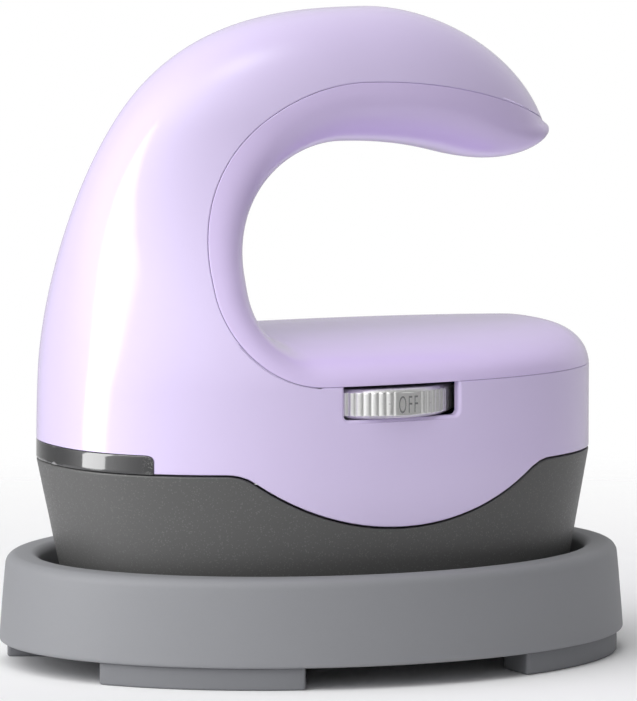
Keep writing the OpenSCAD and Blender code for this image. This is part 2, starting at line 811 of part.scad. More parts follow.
LEADS = [
    [tube_x + tube_l + pin_l, -bend_r, tube_z],
    [tube_x + tube_l + pin_l, bend_r, tube_z],
    [SENSORS[0][0] + SENSORS[0][2] / 2, SENSORS[0][1], plate_top + sensor_r + 0.05]
];

// A lead runs on from its terminal, bends up and ends under the board
module lead(k, tint) {
    p = LEADS[k];
    run = 1;
    color(tint) translate(p) {
        rotate([0, 90, 0]) cylinder(r = lead_r, h = run);
        translate([run, 0, bend]) rotate([90, 0, 0]) rotate_extrude(angle = 90, start = 270)
            translate([bend, 0]) circle(lead_r);
        translate([run + bend, 0, bend]) cylinder(r = lead_r, h = board_z - p[2] - bend);
    }
}

module lead_holes(z, h)
    for (p = LEADS) translate([p[0] + 1 + bend, p[1], z]) cylinder(r = lead_r + 1.5, h = h);

module insulation_pad() {
    color("ivory") difference() {
        translate([0, 0, insulation_z]) linear_extrude(insulation_t)
            polygon(body_outline(insulation_z, wall + 1.5));
        for (p = PLATE_BOSSES)
            translate([p[0], p[1], insulation_z - 1]) cylinder(r = boss_r + 0.5, h = insulation_t + 2);
        for (p = BOSSES)
            translate([p[0], p[1], insulation_z - 1]) rotate(sign(p[1]) * 90) {
                cylinder(r = boss_r + 0.5, h = insulation_t + 2);
                translate([0, -wall, 0]) cube([press_w, 2 * wall, insulation_t + 2]);
            }
        lead_holes(insulation_z - 1, insulation_t + 2);
    }
}

module heat_shield() {
    color("gainsboro") difference() {
        translate([0, 0, shield_z]) linear_extrude(shield_t)
            polygon(body_outline(shield_z, wall + 0.6));
        for (p = PLATE_BOSSES)
            translate([p[0], p[1], shield_z - 1]) cylinder(r = screw_r + 0.2, h = shield_t + 2);
        at_bosses() translate([0, 0, shield_z - 1]) cylinder(r = screw_r + 0.2, h = shield_t + 2);
        lead_holes(shield_z - 1, shield_t + 2);
    }
}

// ---------------------------------------------------------------- screws

// A pan-head screw standing on its thread, its head up
module screw(grip) {
    cylinder(r = screw_r * 2, h = screw_head);
    translate([0, 0, -grip]) cylinder(r = screw_r - 0.02, h = grip + hair);
}

module plate_screw(k)
    color("silver") translate([PLATE_BOSSES[k][0], PLATE_BOSSES[k][1], boss_z]) screw(5);

module housing_screw(k)
    color("silver") at_bosses([k]) translate([0, 0, screw_seat_z]) mirror([0, 0, 1])
        screw(boss_z - screw_seat_z + 6);

module board_screw(k)
    color("silver") at_bosses([k]) translate([0, 0, board_top]) screw(6);

safety_base();
base_insert();
for (k = [1:4]) base_foot(k - 1);
for (k = [1:4]) base_screw(k - 1);
outer_shell();
grip_liner();
lower_housing();
indicator_window();
light_guide();
lamp_board();
for (k = [1:3]) lamp(k);
dial_wheel();
switch_rotor();
rotary_switch();
detent_spring();
control_board();
transformer();
relay();
capacitor();
triac();
heat_sink();
terminal_block();
cord_gland();
heating_plate();
heating_tube();
temperature_sensor();
sensor_clip();
thermal_fuse();
fuse_clip();
insulation_pad();
heat_shield();
lead(0, "firebrick");  // tube_lead_1
lead(1, "navy");  // tube_lead_2
lead(2, "white");  // sensor_lead
for (k = [1:4]) plate_screw(k - 1);
for (k = [1:4]) housing_screw(k - 1);
for (k = [1:4]) board_screw(k - 1);
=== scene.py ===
# %% [markdown]
# # A palm-sized heat press in its safety base
#
# The press is a glossy lavender body with an arched, open handle. It has a silver thumb dial, a smoked
# window over its lamps and a dark lower housing round an oval hot plate. It stands in an oval grey base
# on four feet. The construction is loaded first as a fixed frame: it says where every piece is, which
# body it moves with and how large it is. The cells below then dress each visible piece.

# %% Load the frame
import json
import math

import bmesh
import bpy
from mathutils import Matrix, Vector

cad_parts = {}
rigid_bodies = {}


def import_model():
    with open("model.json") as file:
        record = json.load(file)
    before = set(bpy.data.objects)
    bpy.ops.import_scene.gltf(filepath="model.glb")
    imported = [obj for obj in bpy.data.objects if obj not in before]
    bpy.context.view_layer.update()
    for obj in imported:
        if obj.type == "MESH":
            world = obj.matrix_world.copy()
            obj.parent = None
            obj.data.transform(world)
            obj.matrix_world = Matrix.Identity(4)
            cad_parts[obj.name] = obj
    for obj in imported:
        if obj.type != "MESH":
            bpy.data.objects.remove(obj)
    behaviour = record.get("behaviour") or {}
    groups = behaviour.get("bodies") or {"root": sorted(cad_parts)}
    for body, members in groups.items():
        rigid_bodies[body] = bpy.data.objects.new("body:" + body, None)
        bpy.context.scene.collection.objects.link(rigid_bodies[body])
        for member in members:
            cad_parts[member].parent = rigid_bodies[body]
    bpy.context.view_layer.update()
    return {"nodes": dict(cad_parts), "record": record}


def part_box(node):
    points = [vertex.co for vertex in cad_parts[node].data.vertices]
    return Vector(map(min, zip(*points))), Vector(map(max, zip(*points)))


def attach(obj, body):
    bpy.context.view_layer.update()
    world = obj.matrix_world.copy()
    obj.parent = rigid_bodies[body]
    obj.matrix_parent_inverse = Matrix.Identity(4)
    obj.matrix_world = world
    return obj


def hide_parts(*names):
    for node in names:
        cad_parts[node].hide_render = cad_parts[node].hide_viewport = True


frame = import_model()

MM = 0.001

# %% [markdown]
# ## Camera
#
# The camera comes first, because every later choice is judged through it. A product picture like this
# one is taken from far away with a long lens, so that the body hardly converges. The camera keeps its
# place while it is aimed a little below the middle of the object, which leaves the object's verticals
# as they are. A shift of the lens could frame it too, but a turned camera works in every other view.

# %% Camera
CAMERA_AZIMUTH = math.radians(-25.8)
CAMERA_RISE = math.radians(5.54)
CAMERA_AWAY = 1.670
LENS = 444.2
MIDDLE = Vector((-0.00035, 0, 0.070))
AIM_RIGHT, AIM_DOWN = 1.434 * MM, 10.94 * MM


def new_object(name, data):
    """Puts an object that shows the given data into the scene."""
    made = bpy.data.objects.new(name, data)
    bpy.context.scene.collection.objects.link(made)
    return made


def camera_from(azimuth, rise, away, lens, middle):
    back = Vector((math.sin(azimuth) * math.cos(rise), -math.cos(azimuth) * math.cos(rise), math.sin(rise)))
    right = Vector((math.cos(azimuth), math.sin(azimuth), 0))
    up = back.cross(right)
    place = middle + back * away
    aim = middle + right * AIM_RIGHT - up * AIM_DOWN
    data = bpy.data.cameras.new("camera")
    data.lens = lens
    camera = new_object("camera", data)
    camera.location = place
    camera.rotation_euler = (aim - place).to_track_quat("-Z", "Y").to_euler()
    bpy.context.scene.camera = camera
    return camera


camera = camera_from(CAMERA_AZIMUTH, CAMERA_RISE, CAMERA_AWAY, LENS, MIDDLE)
print("camera at", tuple(round(v, 3) for v in camera.location))

# %% [markdown]
# ## The form of the body
#
# On the real press the lavender body is one smooth form: an oval foot that narrows into a handle which
# arches forwards over the hand. It could be sculpted freely, but then its parting lines would not meet.
# Here a few formulas give the back, the front and the half width at each height, and every lavender
# or dark piece takes its surface from them. So neighbouring pieces meet along one line.

# %% The press body's outline, in millimetres
BASE_LENGTH, BASE_WIDTH = 125.0, 101.0
PRESS_LENGTH, PRESS_WIDTH, PRESS_MIDDLE = 110.0, 76.0, 0.25
WALL = 2.0
HOUSING_FOOT = 14.0
PARTING = 39.5
DECK = 56.0
TOP = 125.3
HEEL = PRESS_MIDDLE - PRESS_LENGTH / 2
NOSE = PRESS_MIDDLE + PRESS_LENGTH / 2
CROWN = HEEL + 66.5
TIP = NOSE - 5.7
TIP_HEIGHT = TOP - 29.3
ROUNDNESS = 2.3
HEEL_LEAN, NOSE_LEAN, SIDE_LEAN = 0.225, 0.20, 0.06
BACK_POWER, FRONT_POWER = 2.72, 1.78
BACK_LOW = PARTING - 2.2
WAIST_DEPTH, WAIST_RISE, WAIST_POWER = 19.0, 49.0, 0.9
CREST_DROP, CREST_POWER = 21.3, 2.2


def share(value, low, high):
    return min(max((value - low) / (high - low), 0.0), 1.0)


def ease(u):
    return u * u * (3 - 2 * u)


def quarter(u, power):
    """A quarter of a rounded oval: 1 at the start, and 0 at the end with a steep fall."""
    return (1 - u ** power) ** (1 / power)


def back_of(z):
    return CROWN - (CROWN - HEEL) * quarter(share(z, BACK_LOW, TOP), BACK_POWER)


def front_of(z):
    if z > TIP_HEIGHT:
        return CROWN + (TIP - CROWN) * quarter(share(z, TIP_HEIGHT, TOP), FRONT_POWER)
    return NOSE + (TIP - NOSE) * share(z, DECK, TIP_HEIGHT)


def half_width(z):
    narrowed = PRESS_WIDTH / 2 - WAIST_DEPTH * ease(share(z, DECK, DECK + WAIST_RISE)) ** WAIST_POWER
    return narrowed * quarter(share(z, TOP - CREST_DROP, TOP), CREST_POWER)


def section(z):
    """Middle, half length and half width of the body at a height."""
    back, front, half = back_of(z), front_of(z), half_width(z)
    below = max(PARTING - z, 0.0)
    if below:
        back, front = HEEL + HEEL_LEAN * below, NOSE - NOSE_LEAN * below
        half = PRESS_WIDTH / 2 - SIDE_LEAN * below
    return (back + front) / 2, (front - back) / 2, half


def side_of(x, z):
    """Half width of the body at a place on its side."""
    middle, reach, half = section(z)
    out = min(abs(x - middle) / reach, 1.0)
    return half * quarter(out, ROUNDNESS)


print("body from", HEEL, "to", NOSE, "mm; handle top at", TOP, "mm")

# %% [markdown]
# ## Making a surface from a grid
#
# Most of these pieces are thin moulded skins. One way to make a skin is to start from a flat grid,
# which Blender gives with one operator, and to move each of its points to a place on the real surface.
# A grid keeps its rows and columns, so the faces follow the form and reflections stay smooth. Skins
# that share an edge are merged there, then they get their wall and small round edges. A form that needs
# no wall, like the base, is a stack of rings whose open ends are filled.

# %% Helpers for meshes
WELD_DISTANCE = 0.002


def new_skin(bm, across, along, place):
    """A grid whose point at the shares (u, v) moves to place(u, v), given in millimetres."""
    made = bmesh.ops.create_grid(bm, x_segments=across, y_segments=along, size=0.5)["verts"]
    for point in made:
        point.co = Vector(place(point.co.x + 0.5, point.co.y + 0.5)) * MM
    return made


def weld(bm):
    bmesh.ops.remove_doubles(bm, verts=bm.verts, dist=WELD_DISTANCE * MM)
    bmesh.ops.dissolve_degenerate(bm, dist=WELD_DISTANCE * MM / 2, edges=bm.edges)
    bmesh.ops.recalc_face_normals(bm, faces=bm.faces)


def close_up(bm):
    """Welds a form and fills its open ends."""
    weld(bm)
    bmesh.ops.holes_fill(bm, edges=[e for e in bm.edges if e.is_boundary], sides=0)
    bmesh.ops.recalc_face_normals(bm, faces=bm.faces)


def round_edges(bm, edges, width, segments=3, clamp=True):
    """Rounds edges with a bevel whose width is in millimetres."""
    bmesh.ops.bevel(bm, geom=edges, offset=width * MM, segments=segments, profile=0.5, affect="EDGES",
                    material=-1, clamp_overlap=clamp)


print("mesh helpers are ready")

# %% [markdown]
# ## From a mesh to a piece
#
# A mesh becomes a piece when it says which body it moves with, which finish it has and which part of the
# construction it stands for. A moulding then gets its wall from a Solidify modifier. Its lips are sharp
# at first, and a real moulding has no sharp lip, so the modifier is applied and the lips are bevelled.

# %% Helpers for pieces
def new_piece(name, bm, body, slot, finish, *nodes):
    """Turns the bmesh into a smooth object that rides on a body and stands for CAD nodes."""
    mesh = bpy.data.meshes.new(name)
    bm.to_mesh(mesh)
    bm.free()
    mesh.shade_smooth()
    piece = new_object(name, mesh)
    piece.data.materials.append(finish)
    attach(piece, body)
    if nodes:
        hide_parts(*nodes)
    return piece


def add_modifier(piece, kind, **settings):
    modifier = piece.modifiers.new(kind.lower(), kind)
    for key, value in settings.items():
        setattr(modifier, key, value)
    return modifier


def bake_shape(piece):
    """Applies the modifiers, so that the next step works on the finished mesh."""
    shape = piece.evaluated_get(bpy.context.evaluated_depsgraph_get())
    mesh = bpy.data.meshes.new_from_object(shape)
    piece.modifiers.clear()
    piece.data = mesh


def round_lips(piece, width, chosen):
    """Rounds those sharp edges of a finished mesh whose middle, in millimetres, is chosen."""
    bm = bmesh.new()
    bm.from_mesh(piece.data)
    lips = [e for e in bm.edges if len(e.link_faces) == 2 and e.calc_face_angle() > math.radians(50)
            and chosen((e.verts[0].co + e.verts[1].co) / 2 / MM)]
    round_edges(bm, lips, width, clamp=False)
    bm.to_mesh(piece.data)
    bm.free()
    piece.data.shade_smooth()


def even_shading(piece):
    """Lets the large faces set the normals, so that small roundings do not spread over them."""
    add_modifier(piece, "WEIGHTED_NORMAL", mode="FACE_AREA", weight=50, keep_sharp=True)


def cut_away(piece, bm):
    """Cuts the closed bmesh out of a piece."""
    mesh = bpy.data.meshes.new("cutter")
    bm.to_mesh(mesh)
    bm.free()
    cutter = new_object("cutter", mesh)
    add_modifier(piece, "BOOLEAN", object=cutter, operation="DIFFERENCE", solver="EXACT")
    bake_shape(piece)
    bpy.data.objects.remove(cutter)
    bpy.data.meshes.remove(mesh)


def moulded_skin(name, skins, slot, finish, node, rounding, chosen):
    """A thin moulding of the press, made of grids that are welded, given a wall and rounded."""
    bm = bmesh.new()
    for across, along, place in skins:
        new_skin(bm, across, along, place)
    weld(bm)
    piece = new_piece(name, bm, "press", slot, finish, node)
    add_modifier(piece, "SOLIDIFY", thickness=WALL * MM, offset=-1.0)
    bake_shape(piece)
    round_lips(piece, rounding, chosen)
    return piece


def count(piece):
    shape = piece.evaluated_get(bpy.context.evaluated_depsgraph_get()).data
    shape.calc_loop_triangles()
    print(piece.name, len(shape.loop_triangles), "triangles")


print("piece helpers are ready")

# %% [markdown]
# ## Shader words
#
# A finish is a small network of shader nodes. Written out node by node it is long and hard to read, so
# small classes help. A Wire wraps one output, and its operators add the Math nodes: `1 - mask` is then an
# expression like any other. A Network adds any other node with one method, and a Finish is the network
# of one material.

# %% Shader helpers
class Wire:
    """A value that comes out of a shader node."""

    def __init__(self, finish, socket):
        self.finish, self.socket = finish, socket

    def math(self, operation, *values, clamp=False):
        inputs = dict(enumerate((self,) + values))
        return self.finish.add("ShaderNodeMath", {"operation": operation, "use_clamp": clamp}, inputs)

    def __add__(self, other):
        return self.math("ADD", other)

    __radd__ = __add__

    def __mul__(self, other):
        return self.math("MULTIPLY", other)

    __rmul__ = __mul__

    def __sub__(self, other):
        return self.math("SUBTRACT", other)

    def __rsub__(self, other):
        return self * -1 + other

    def __pow__(self, other):
        return self.math("POWER", other)

    def over(self, edge, soft=0.02):
        """0 below the edge and 1 above it, with a soft step."""
        return (self * (1 / soft) + (0.5 - edge / soft)).math("MULTIPLY", 1.0, clamp=True)


class Network:
    """A shader network in the making."""

    def __init__(self, tree):
        self.tree = tree

    def feed(self, socket, value):
        if isinstance(value, Wire):
            self.tree.links.new(value.socket, socket)
        elif socket.type == "RGBA":
            socket.default_value = tuple(value) + (1.0,) * (4 - len(value))
        else:
            socket.default_value = value

    def add(self, kind, settings, inputs, out=0):
        """Adds a node: its settings come first, then the values or links of its sockets."""
        node = self.tree.nodes.new(kind)
        for key, value in settings.items():
            setattr(node, key, value)
        for key, value in inputs.items():
            named = [s for s in node.inputs if s.identifier == key or s.name == key]
            self.feed(node.inputs[key] if isinstance(key, int) else named[0], value)
        return Wire(self, node.outputs[out])


class Finish(Network):
    """A material in the making: its Principled shader, and any nodes that feed it."""

    def __init__(self, name, **uniform):
        self.material = bpy.data.materials.new(name)
        self.material.use_nodes = True
        super().__init__(self.material.node_tree)
        self.shader = self.tree.nodes["Principled BSDF"]
        self.set(**uniform)
        self.place = self.add("ShaderNodeTexCoord", {}, {}, "Object")

    def set(self, **values):
        """Sets or links sockets of the shader, whose names are written with _ for each space."""
        for key, value in values.items():
            self.feed(self.shader.inputs[key.replace("_", " ")], value)

    def noise(self, scale, detail=2.0, roughness=0.5, place=None):
        return self.add("ShaderNodeTexNoise", {}, {"Vector": place or self.place, "Scale": scale,
                                                   "Detail": detail, "Roughness": roughness}, "Fac")

    def cells(self, scale):
        """A random value for each of many small cells."""
        colour = self.add("ShaderNodeTexVoronoi", {}, {"Vector": self.place, "Scale": scale}, "Color")
        return self.add("ShaderNodeSeparateColor", {}, {0: colour})

    def axis(self, name):
        return self.add("ShaderNodeSeparateXYZ", {}, {0: self.place}, name)

    def mix(self, share, low, high):
        """A colour between two colours."""
        return self.add("ShaderNodeMix", {"data_type": "RGBA"},
                        {"Factor_Float": share, "A_Color": low, "B_Color": high}, 2)

    def bump(self, height, distance, strength):
        return self.add("ShaderNodeBump", {}, {"Height": height, "Distance": distance * MM,
                                               "Strength": strength}, "Normal")


def toned(colour, factor):
    """The same colour, darker or lighter."""
    return tuple(min(c * factor, 1.0) for c in colour)


print("shader helpers are ready")

# %% [markdown]
# ## Lavender gloss plastic
#
# The body is injection-moulded plastic with a polished tool face, so it shows sharp reflections over a
# pastel ground. A plain colour with a low roughness would look like glass. Real mouldings have a very
# faint ripple in the gloss and rub marks that make it a touch duller here and there, so noise at two
# scales feeds the roughness and the bump.

# %% Lavender finishes
def gloss_plastic(name, colour, roughness):
    finish = Finish(name, IOR=1.46)
    cloud = finish.noise(28.0, 3.0)
    rub = finish.noise(420.0, 4.0, 0.6)
    finish.set(Base_Color=finish.mix(cloud, colour, toned(colour, 0.975)),
               Roughness=rub * 0.05 + cloud * 0.03 + (roughness - 0.04),
               Normal=finish.bump(finish.noise(260.0, 1.0), 0.004, 0.25))
    return finish.material


lavender = gloss_plastic("lavender_gloss", (0.785, 0.680, 0.975), 0.12)
# The lining is the same plastic as the shell. Its copy of the lavender is a touch more saturated as painted
# shade, for the deeper, more coloured shade inside the finger gap.
lavender_shaded_lining = gloss_plastic("lavender_lining_painted_shade", (0.782, 0.656, 0.990), 0.12)
print("made", lavender.name, "and", lavender_shaded_lining.name)

# %% [markdown]
# ## Dark, grey and clear plastics
#
# The lower housing is dark plastic with tiny metal flakes, which glint one by one. The base is a matte,
# heat-proof plastic with a fine spark-eroded texture, and its feet are a darker rubber. The window is
# smoked plastic, polished like the body. Flakes could be particles, but at this size a random value for
# each small cell of a Voronoi pattern is enough, and it costs no geometry.

# %% Dark and grey finishes
def flaked_plastic(name, colour, flake_colour):
    finish = Finish(name, IOR=1.5)
    flake = finish.cells(5200.0).over(0.93)
    grain = finish.noise(2400.0, 2.0)
    finish.set(Base_Color=finish.mix(flake, colour, flake_colour),
               Metallic=flake * 0.3,
               Roughness=grain * 0.14 + 0.40 - flake * 0.15,
               Normal=finish.bump(grain, 0.02, 0.35))
    return finish.material


def matte_plastic(name, colour, roughness, grain_scale, grain_depth):
    finish = Finish(name, IOR=1.47)
    grain = finish.noise(grain_scale, 3.0, 0.6)
    cloud = finish.noise(22.0, 3.0)
    finish.set(Base_Color=finish.mix(cloud * 0.5 + grain * 0.5, colour, toned(colour, 1.10)),
               Roughness=grain * 0.12 + (roughness - 0.06),
               Normal=finish.bump(grain, grain_depth, 0.5))
    return finish.material


def smoked_plastic(name):
    finish = Finish(name, IOR=1.5, Coat_Weight=1.0, Coat_Roughness=0.02)
    speck = finish.cells(5200.0).over(0.72)
    heelward = (finish.axis("X") * -1000.0).over(45.5, 3.0)
    mask = speck * (1 - heelward) * 0.6
    finish.set(Base_Color=finish.mix(mask, (0.030, 0.030, 0.032), (0.30, 0.30, 0.29)),
               Roughness=finish.noise(300.0) * 0.05 + 0.06)
    return finish.material


dark_flaked = flaked_plastic("dark_flaked_plastic", (0.102, 0.102, 0.101), (0.155, 0.155, 0.155))
base_grey = matte_plastic("base_grey", (0.248, 0.252, 0.268), 0.60, 2600.0, 0.03)
foot_grey = matte_plastic("foot_rubber_grey", (0.190, 0.194, 0.208), 0.70, 1800.0, 0.04)
smoked = smoked_plastic("smoked_window")
print("made", dark_flaked.name, base_grey.name, foot_grey.name, smoked.name)

# %% [markdown]
# ## The safety base
#
# The base is an oval tray with a broad, rounded rim and a slightly leaning wall. It could be turned on
# a lathe and stretched, but that would make the wall thicker at the ends. Here every ring keeps nearly
# the same distance from the outline all round, as on the real moulding. The rim's roundings are rows
# of their own, which close up to the flat inner ledge.

# %% Safety base
BASE_FOOT, BASE_FLOOR, BASE_RIM = 4.3, 6.8, 21.0
FLOOR_MIDDLE, FLOOR_EDGE = 46.0, 20.0
LOFT_COLUMNS = 192


def arc_points(middle_in, middle_z, reach_in, reach_z, start, end, steps):
    """Points of a quarter round in the wall's section, as (inset, height)."""
    turn = [math.radians(start + (end - start) * k / steps) for k in range(steps + 1)]
    return [(middle_in + reach_in * math.cos(a), middle_z + reach_z * math.sin(a)) for a in turn]


def base_section():
    """The wall's section, as (inset from the outline, height)."""
    return ([(FLOOR_MIDDLE, BASE_FOOT), (FLOOR_EDGE, BASE_FOOT), (1.0, BASE_FOOT)]
            + arc_points(0.47, 4.75, 0.45, 0.45, 270, 180, 4)
            + [(0.05, 5.3), (0.30, 8.6), (0.60, 12.2), (0.90, 15.8), (1.20, 18.9)]
            + arc_points(3.42, 18.9, 2.2, 2.1, 174, 90, 10)
            + [(4.6, BASE_RIM), (6.0, BASE_RIM)]
            + arc_points(6.0, 19.2, 1.8, 1.8, 84, 0, 8)
            + [(7.9, 17.5), (7.95, 12.0), (8.0, 7.6), (8.2, 7.0), (8.9, BASE_FLOOR),
               (FLOOR_EDGE, BASE_FLOOR), (FLOOR_MIDDLE, BASE_FLOOR)])


def base_oval(inset, a):
    return (BASE_LENGTH / 2 - inset) * math.cos(a), (BASE_WIDTH / 2 - inset) * math.sin(a)


def closed_loft(rows, outline):
    """A closed form through rings, given as (inset, height) from the middle of its foot upwards."""
    def place(u, v):
        inset, z = rows[round(v * (len(rows) - 1))]
        return (*outline(inset, 2 * math.pi * u), z)

    bm = bmesh.new()
    new_skin(bm, LOFT_COLUMNS, len(rows) - 1, place)
    close_up(bm)
    return bm


def make_base():
    bm = closed_loft(base_section(), base_oval)
    return new_piece("base_tray", bm, "base", "grey_base", base_grey, "safety_base")


base_tray = make_base()
count(base_tray)

# %% [markdown]
# ## Feet
#
# Each foot is a rubber block that follows a quarter of the oval, with soft lower edges so that it does
# not catch. It is modelled flat and then raised: a grid bent along the oval, pulled down by its
# thickness, and bevelled. The bevel on the lower edge is larger than the one that meets the tray.

# %% Feet
FOOT_HEIGHT, FOOT_WIDTH, FOOT_INSET = 4.3, 9.7, 1.1
FOOT_GAP_SIDE, FOOT_GAP_END = 46.6, 42.6


def make_foot(number, sign_x, sign_y):
    reach_x, reach_y = BASE_LENGTH / 2 - FOOT_INSET, BASE_WIDTH / 2 - FOOT_INSET
    start = math.asin(FOOT_GAP_END / 2 / reach_y)

    def place(u, v):
        last = math.acos(FOOT_GAP_SIDE / 2 / (reach_x - FOOT_WIDTH * v))
        a = start + (last - start) * u
        return (sign_x * (reach_x - FOOT_WIDTH * v) * math.cos(a),
                sign_y * (reach_y - FOOT_WIDTH * v) * math.sin(a), FOOT_HEIGHT)

    bm = bmesh.new()
    new_skin(bm, 28, 3, place)
    bmesh.ops.recalc_face_normals(bm, faces=bm.faces)
    pulled = bmesh.ops.extrude_face_region(bm, geom=bm.faces[:])["geom"]
    moved = [g for g in pulled if isinstance(g, bmesh.types.BMVert)]
    bmesh.ops.translate(bm, verts=moved, vec=(0, 0, -FOOT_HEIGHT * MM))
    bmesh.ops.recalc_face_normals(bm, faces=bm.faces)
    for wanted, offset, segments in [(lambda low, high: high - low > 1, 0.8, 4),
                                     (lambda low, high: high < 0.1, 1.1, 6),
                                     (lambda low, high: low > FOOT_HEIGHT - 0.1, 0.3, 3)]:
        edges = [e for e in bm.edges if wanted(*sorted(v.co.z / MM for v in e.verts))
                 and e.calc_face_angle(0) > 0.9]
        round_edges(bm, edges, offset, segments)
    bmesh.ops.recalc_face_normals(bm, faces=bm.faces)
    return new_piece(f"rubber_foot_{number}", bm, "base", "foot_rubber", foot_grey, f"base_foot_{number}")


feet = [make_foot(k + 1, *signs) for k, signs in enumerate([(-1, -1), (1, -1), (1, 1), (-1, 1)])]
count(feet[0])

# %% [markdown]
# ## The parting line
#
# The lavender shell meets the dark housing along a level line that dips in one wide swoosh on each
# side. The line is the edge of both pieces, so it is worked out once: level, a small rounded shoulder,
# a large arc, and the same again. Each piece stays a hair's breadth away from it, as a real shadow gap.

# %% Parting line
SWOOSH_MIDDLE, SWOOSH_RADIUS, SWOOSH_DROP, SHOULDER = 1.0, 51.0, 11.0, 8.5
PARTING_GAP = 0.3


def parting(x, gap=0.0):
    """Height of the parting line; gap raises it on the shell's side."""
    middle_z = PARTING - SWOOSH_DROP + SWOOSH_RADIUS
    shoulder_z = PARTING - SHOULDER
    away = abs(x - SWOOSH_MIDDLE)
    outer = SWOOSH_RADIUS + SHOULDER
    shoulder_x = math.sqrt(outer ** 2 - (middle_z - shoulder_z) ** 2)
    touch = shoulder_x * SWOOSH_RADIUS / outer
    if away >= shoulder_x:
        return PARTING + gap
    if away > touch:
        return shoulder_z + math.sqrt((SHOULDER + gap) ** 2 - (shoulder_x - away) ** 2)
    return middle_z - math.sqrt((SWOOSH_RADIUS - gap) ** 2 - away ** 2)


print("parting line at the middle of the swoosh:", round(parting(SWOOSH_MIDDLE), 2))

# %% [markdown]
# ## Seam of the handle
#
# A second line runs in side view from the nose along the deck, up the back of the finger gap and out to
# the handle's tip. Outside it is the shell, and inside it the lining that the fingers touch. It is built
# from four simple curves, and the lining needs three facts at each place on it: where the place is, which
# way the lining bulges, and how far.

# %% Handle seam
GAP_MIDDLE = HEEL + 57.6
SEAM_TOP = TOP - 13.3
SEAM_RADIUS, BACK_RADIUS, CORNER_RADIUS = 108.0, 36.0, 17.9
CORNER = GAP_MIDDLE - BACK_RADIUS + CORNER_RADIUS
DECK_BULGE, BACK_BULGE, GRIP_BULGE = 7.7, 11.1, 12.3
NOSE_ROUND, TIP_ROUND, TIP_POWER = 9.5, 18.0, 2.2
SEAM_GAP = 0.06
UPWARD = (0, 1)


def grip_seam(x):
    return SEAM_TOP - SEAM_RADIUS + math.sqrt(SEAM_RADIUS ** 2 - (x - GAP_MIDDLE) ** 2)


def seam_end():
    x = TIP
    for _ in range(12):
        x = front_of(grip_seam(x))
    return x


SEAM_END = seam_end()


def deck_station(u):
    x = NOSE + (CORNER - NOSE) * (1 - math.cos(math.pi / 2 * u))
    return (x, DECK), UPWARD, DECK_BULGE * quarter(share(x, NOSE - NOSE_ROUND, NOSE), 2)


def corner_station(u):
    a = math.radians(270 - 90 * u)
    bulge = DECK_BULGE + (BACK_BULGE - DECK_BULGE) * ease(u)
    return ((CORNER + CORNER_RADIUS * math.cos(a), DECK + CORNER_RADIUS * (1 + math.sin(a))),
            (-math.cos(a), -math.sin(a)), bulge)


def back_station(u):
    a = math.radians(180 - 90 * u)
    return ((GAP_MIDDLE + BACK_RADIUS * math.cos(a), SEAM_TOP - BACK_RADIUS * (1 - math.sin(a))),
            (-math.cos(a), -math.sin(a)), BACK_BULGE + (GRIP_BULGE - BACK_BULGE) * ease(u))


def grip_station(u):
    x = GAP_MIDDLE + (SEAM_END - GAP_MIDDLE) * math.sin(math.pi / 2 * u)
    z = grip_seam(x)
    bulge = GRIP_BULGE * quarter(share(x, SEAM_END - TIP_ROUND, SEAM_END), TIP_POWER)
    return (x, z), ((GAP_MIDDLE - x) / SEAM_RADIUS, (SEAM_TOP - SEAM_RADIUS - z) / SEAM_RADIUS), bulge


SEAM_PARTS = [(deck_station, 56), (corner_station, 28), (back_station, 40), (grip_station, 44)]
SEAM_ROWS = sum(rows for _, rows in SEAM_PARTS)


def station(row):
    """Place, direction and depth of the lining at one of the seam's rows."""
    for part, rows in SEAM_PARTS:
        if row <= rows:
            return part(row / rows)
        row -= rows
    return SEAM_PARTS[-1][0](1.0)


print("seam rows:", SEAM_ROWS, "end of the seam at x =", round(SEAM_END, 2))

# %% [markdown]
# ## The lavender shell
#
# The shell is the whole outside of the handle together with the skirt round the deck. It is one
# moulding, so it is one mesh, made from two grids that share a row. The upper grid fans out from the
# seam to the outline of the handle. The lower one goes round the body and ends at the parting line.
# The rows lie closer together near the edges, so that the small rounding there does not spread.

# %% Handle's grid
SIDE_COLUMNS, NOSE_COLUMNS, SKIRT_ROWS = 44, 44, 20
ROUND_COLUMNS = 2 * SIDE_COLUMNS + 2 * NOSE_COLUMNS
NARROW = 0.45
FRONT_SHARE = 0.30


def outline(u):
    """The handle's outline in side view, from the seam's end over the crown to the heel."""
    tip_turn = math.asin(share(grip_seam(SEAM_END), TIP_HEIGHT, TOP) ** (FRONT_POWER / 2))
    heel_turn = math.asin(share(DECK, BACK_LOW, TOP) ** (BACK_POWER / 2))
    if u < FRONT_SHARE:
        a = tip_turn + (math.pi / 2 - tip_turn) * (u / FRONT_SHARE)
        return (CROWN + (TIP - CROWN) * math.cos(a) ** (2 / FRONT_POWER),
                TIP_HEIGHT + (TOP - TIP_HEIGHT) * math.sin(a) ** (2 / FRONT_POWER))
    a = math.pi / 2 + (heel_turn - math.pi / 2) * (u - FRONT_SHARE) / (1 - FRONT_SHARE)
    return (CROWN - (CROWN - HEEL) * max(math.cos(a), 0.0) ** (2 / BACK_POWER),
            BACK_LOW + (TOP - BACK_LOW) * math.sin(a) ** (2 / BACK_POWER))


def lengths_along(points):
    """Length of the path from its start to each of its points."""
    walked = [0.0]
    for a, b in zip(points, points[1:]):
        walked.append(walked[-1] + math.dist(a, b))
    return walked


def even_path(curve, samples=600):
    """The same curve, followed at an even pace."""
    walked = lengths_along([curve(k / samples) for k in range(samples + 1)])

    def at(u):
        goal = u * walked[-1]
        low, high = 0, samples
        while high - low > 1:
            half = (low + high) // 2
            low, high = (half, high) if walked[half] <= goal else (low, half)
        part = (goal - walked[low]) / max(walked[high] - walked[low], 1e-9)
        return curve((low + part) / samples)
    return at


even_outline = even_path(outline)


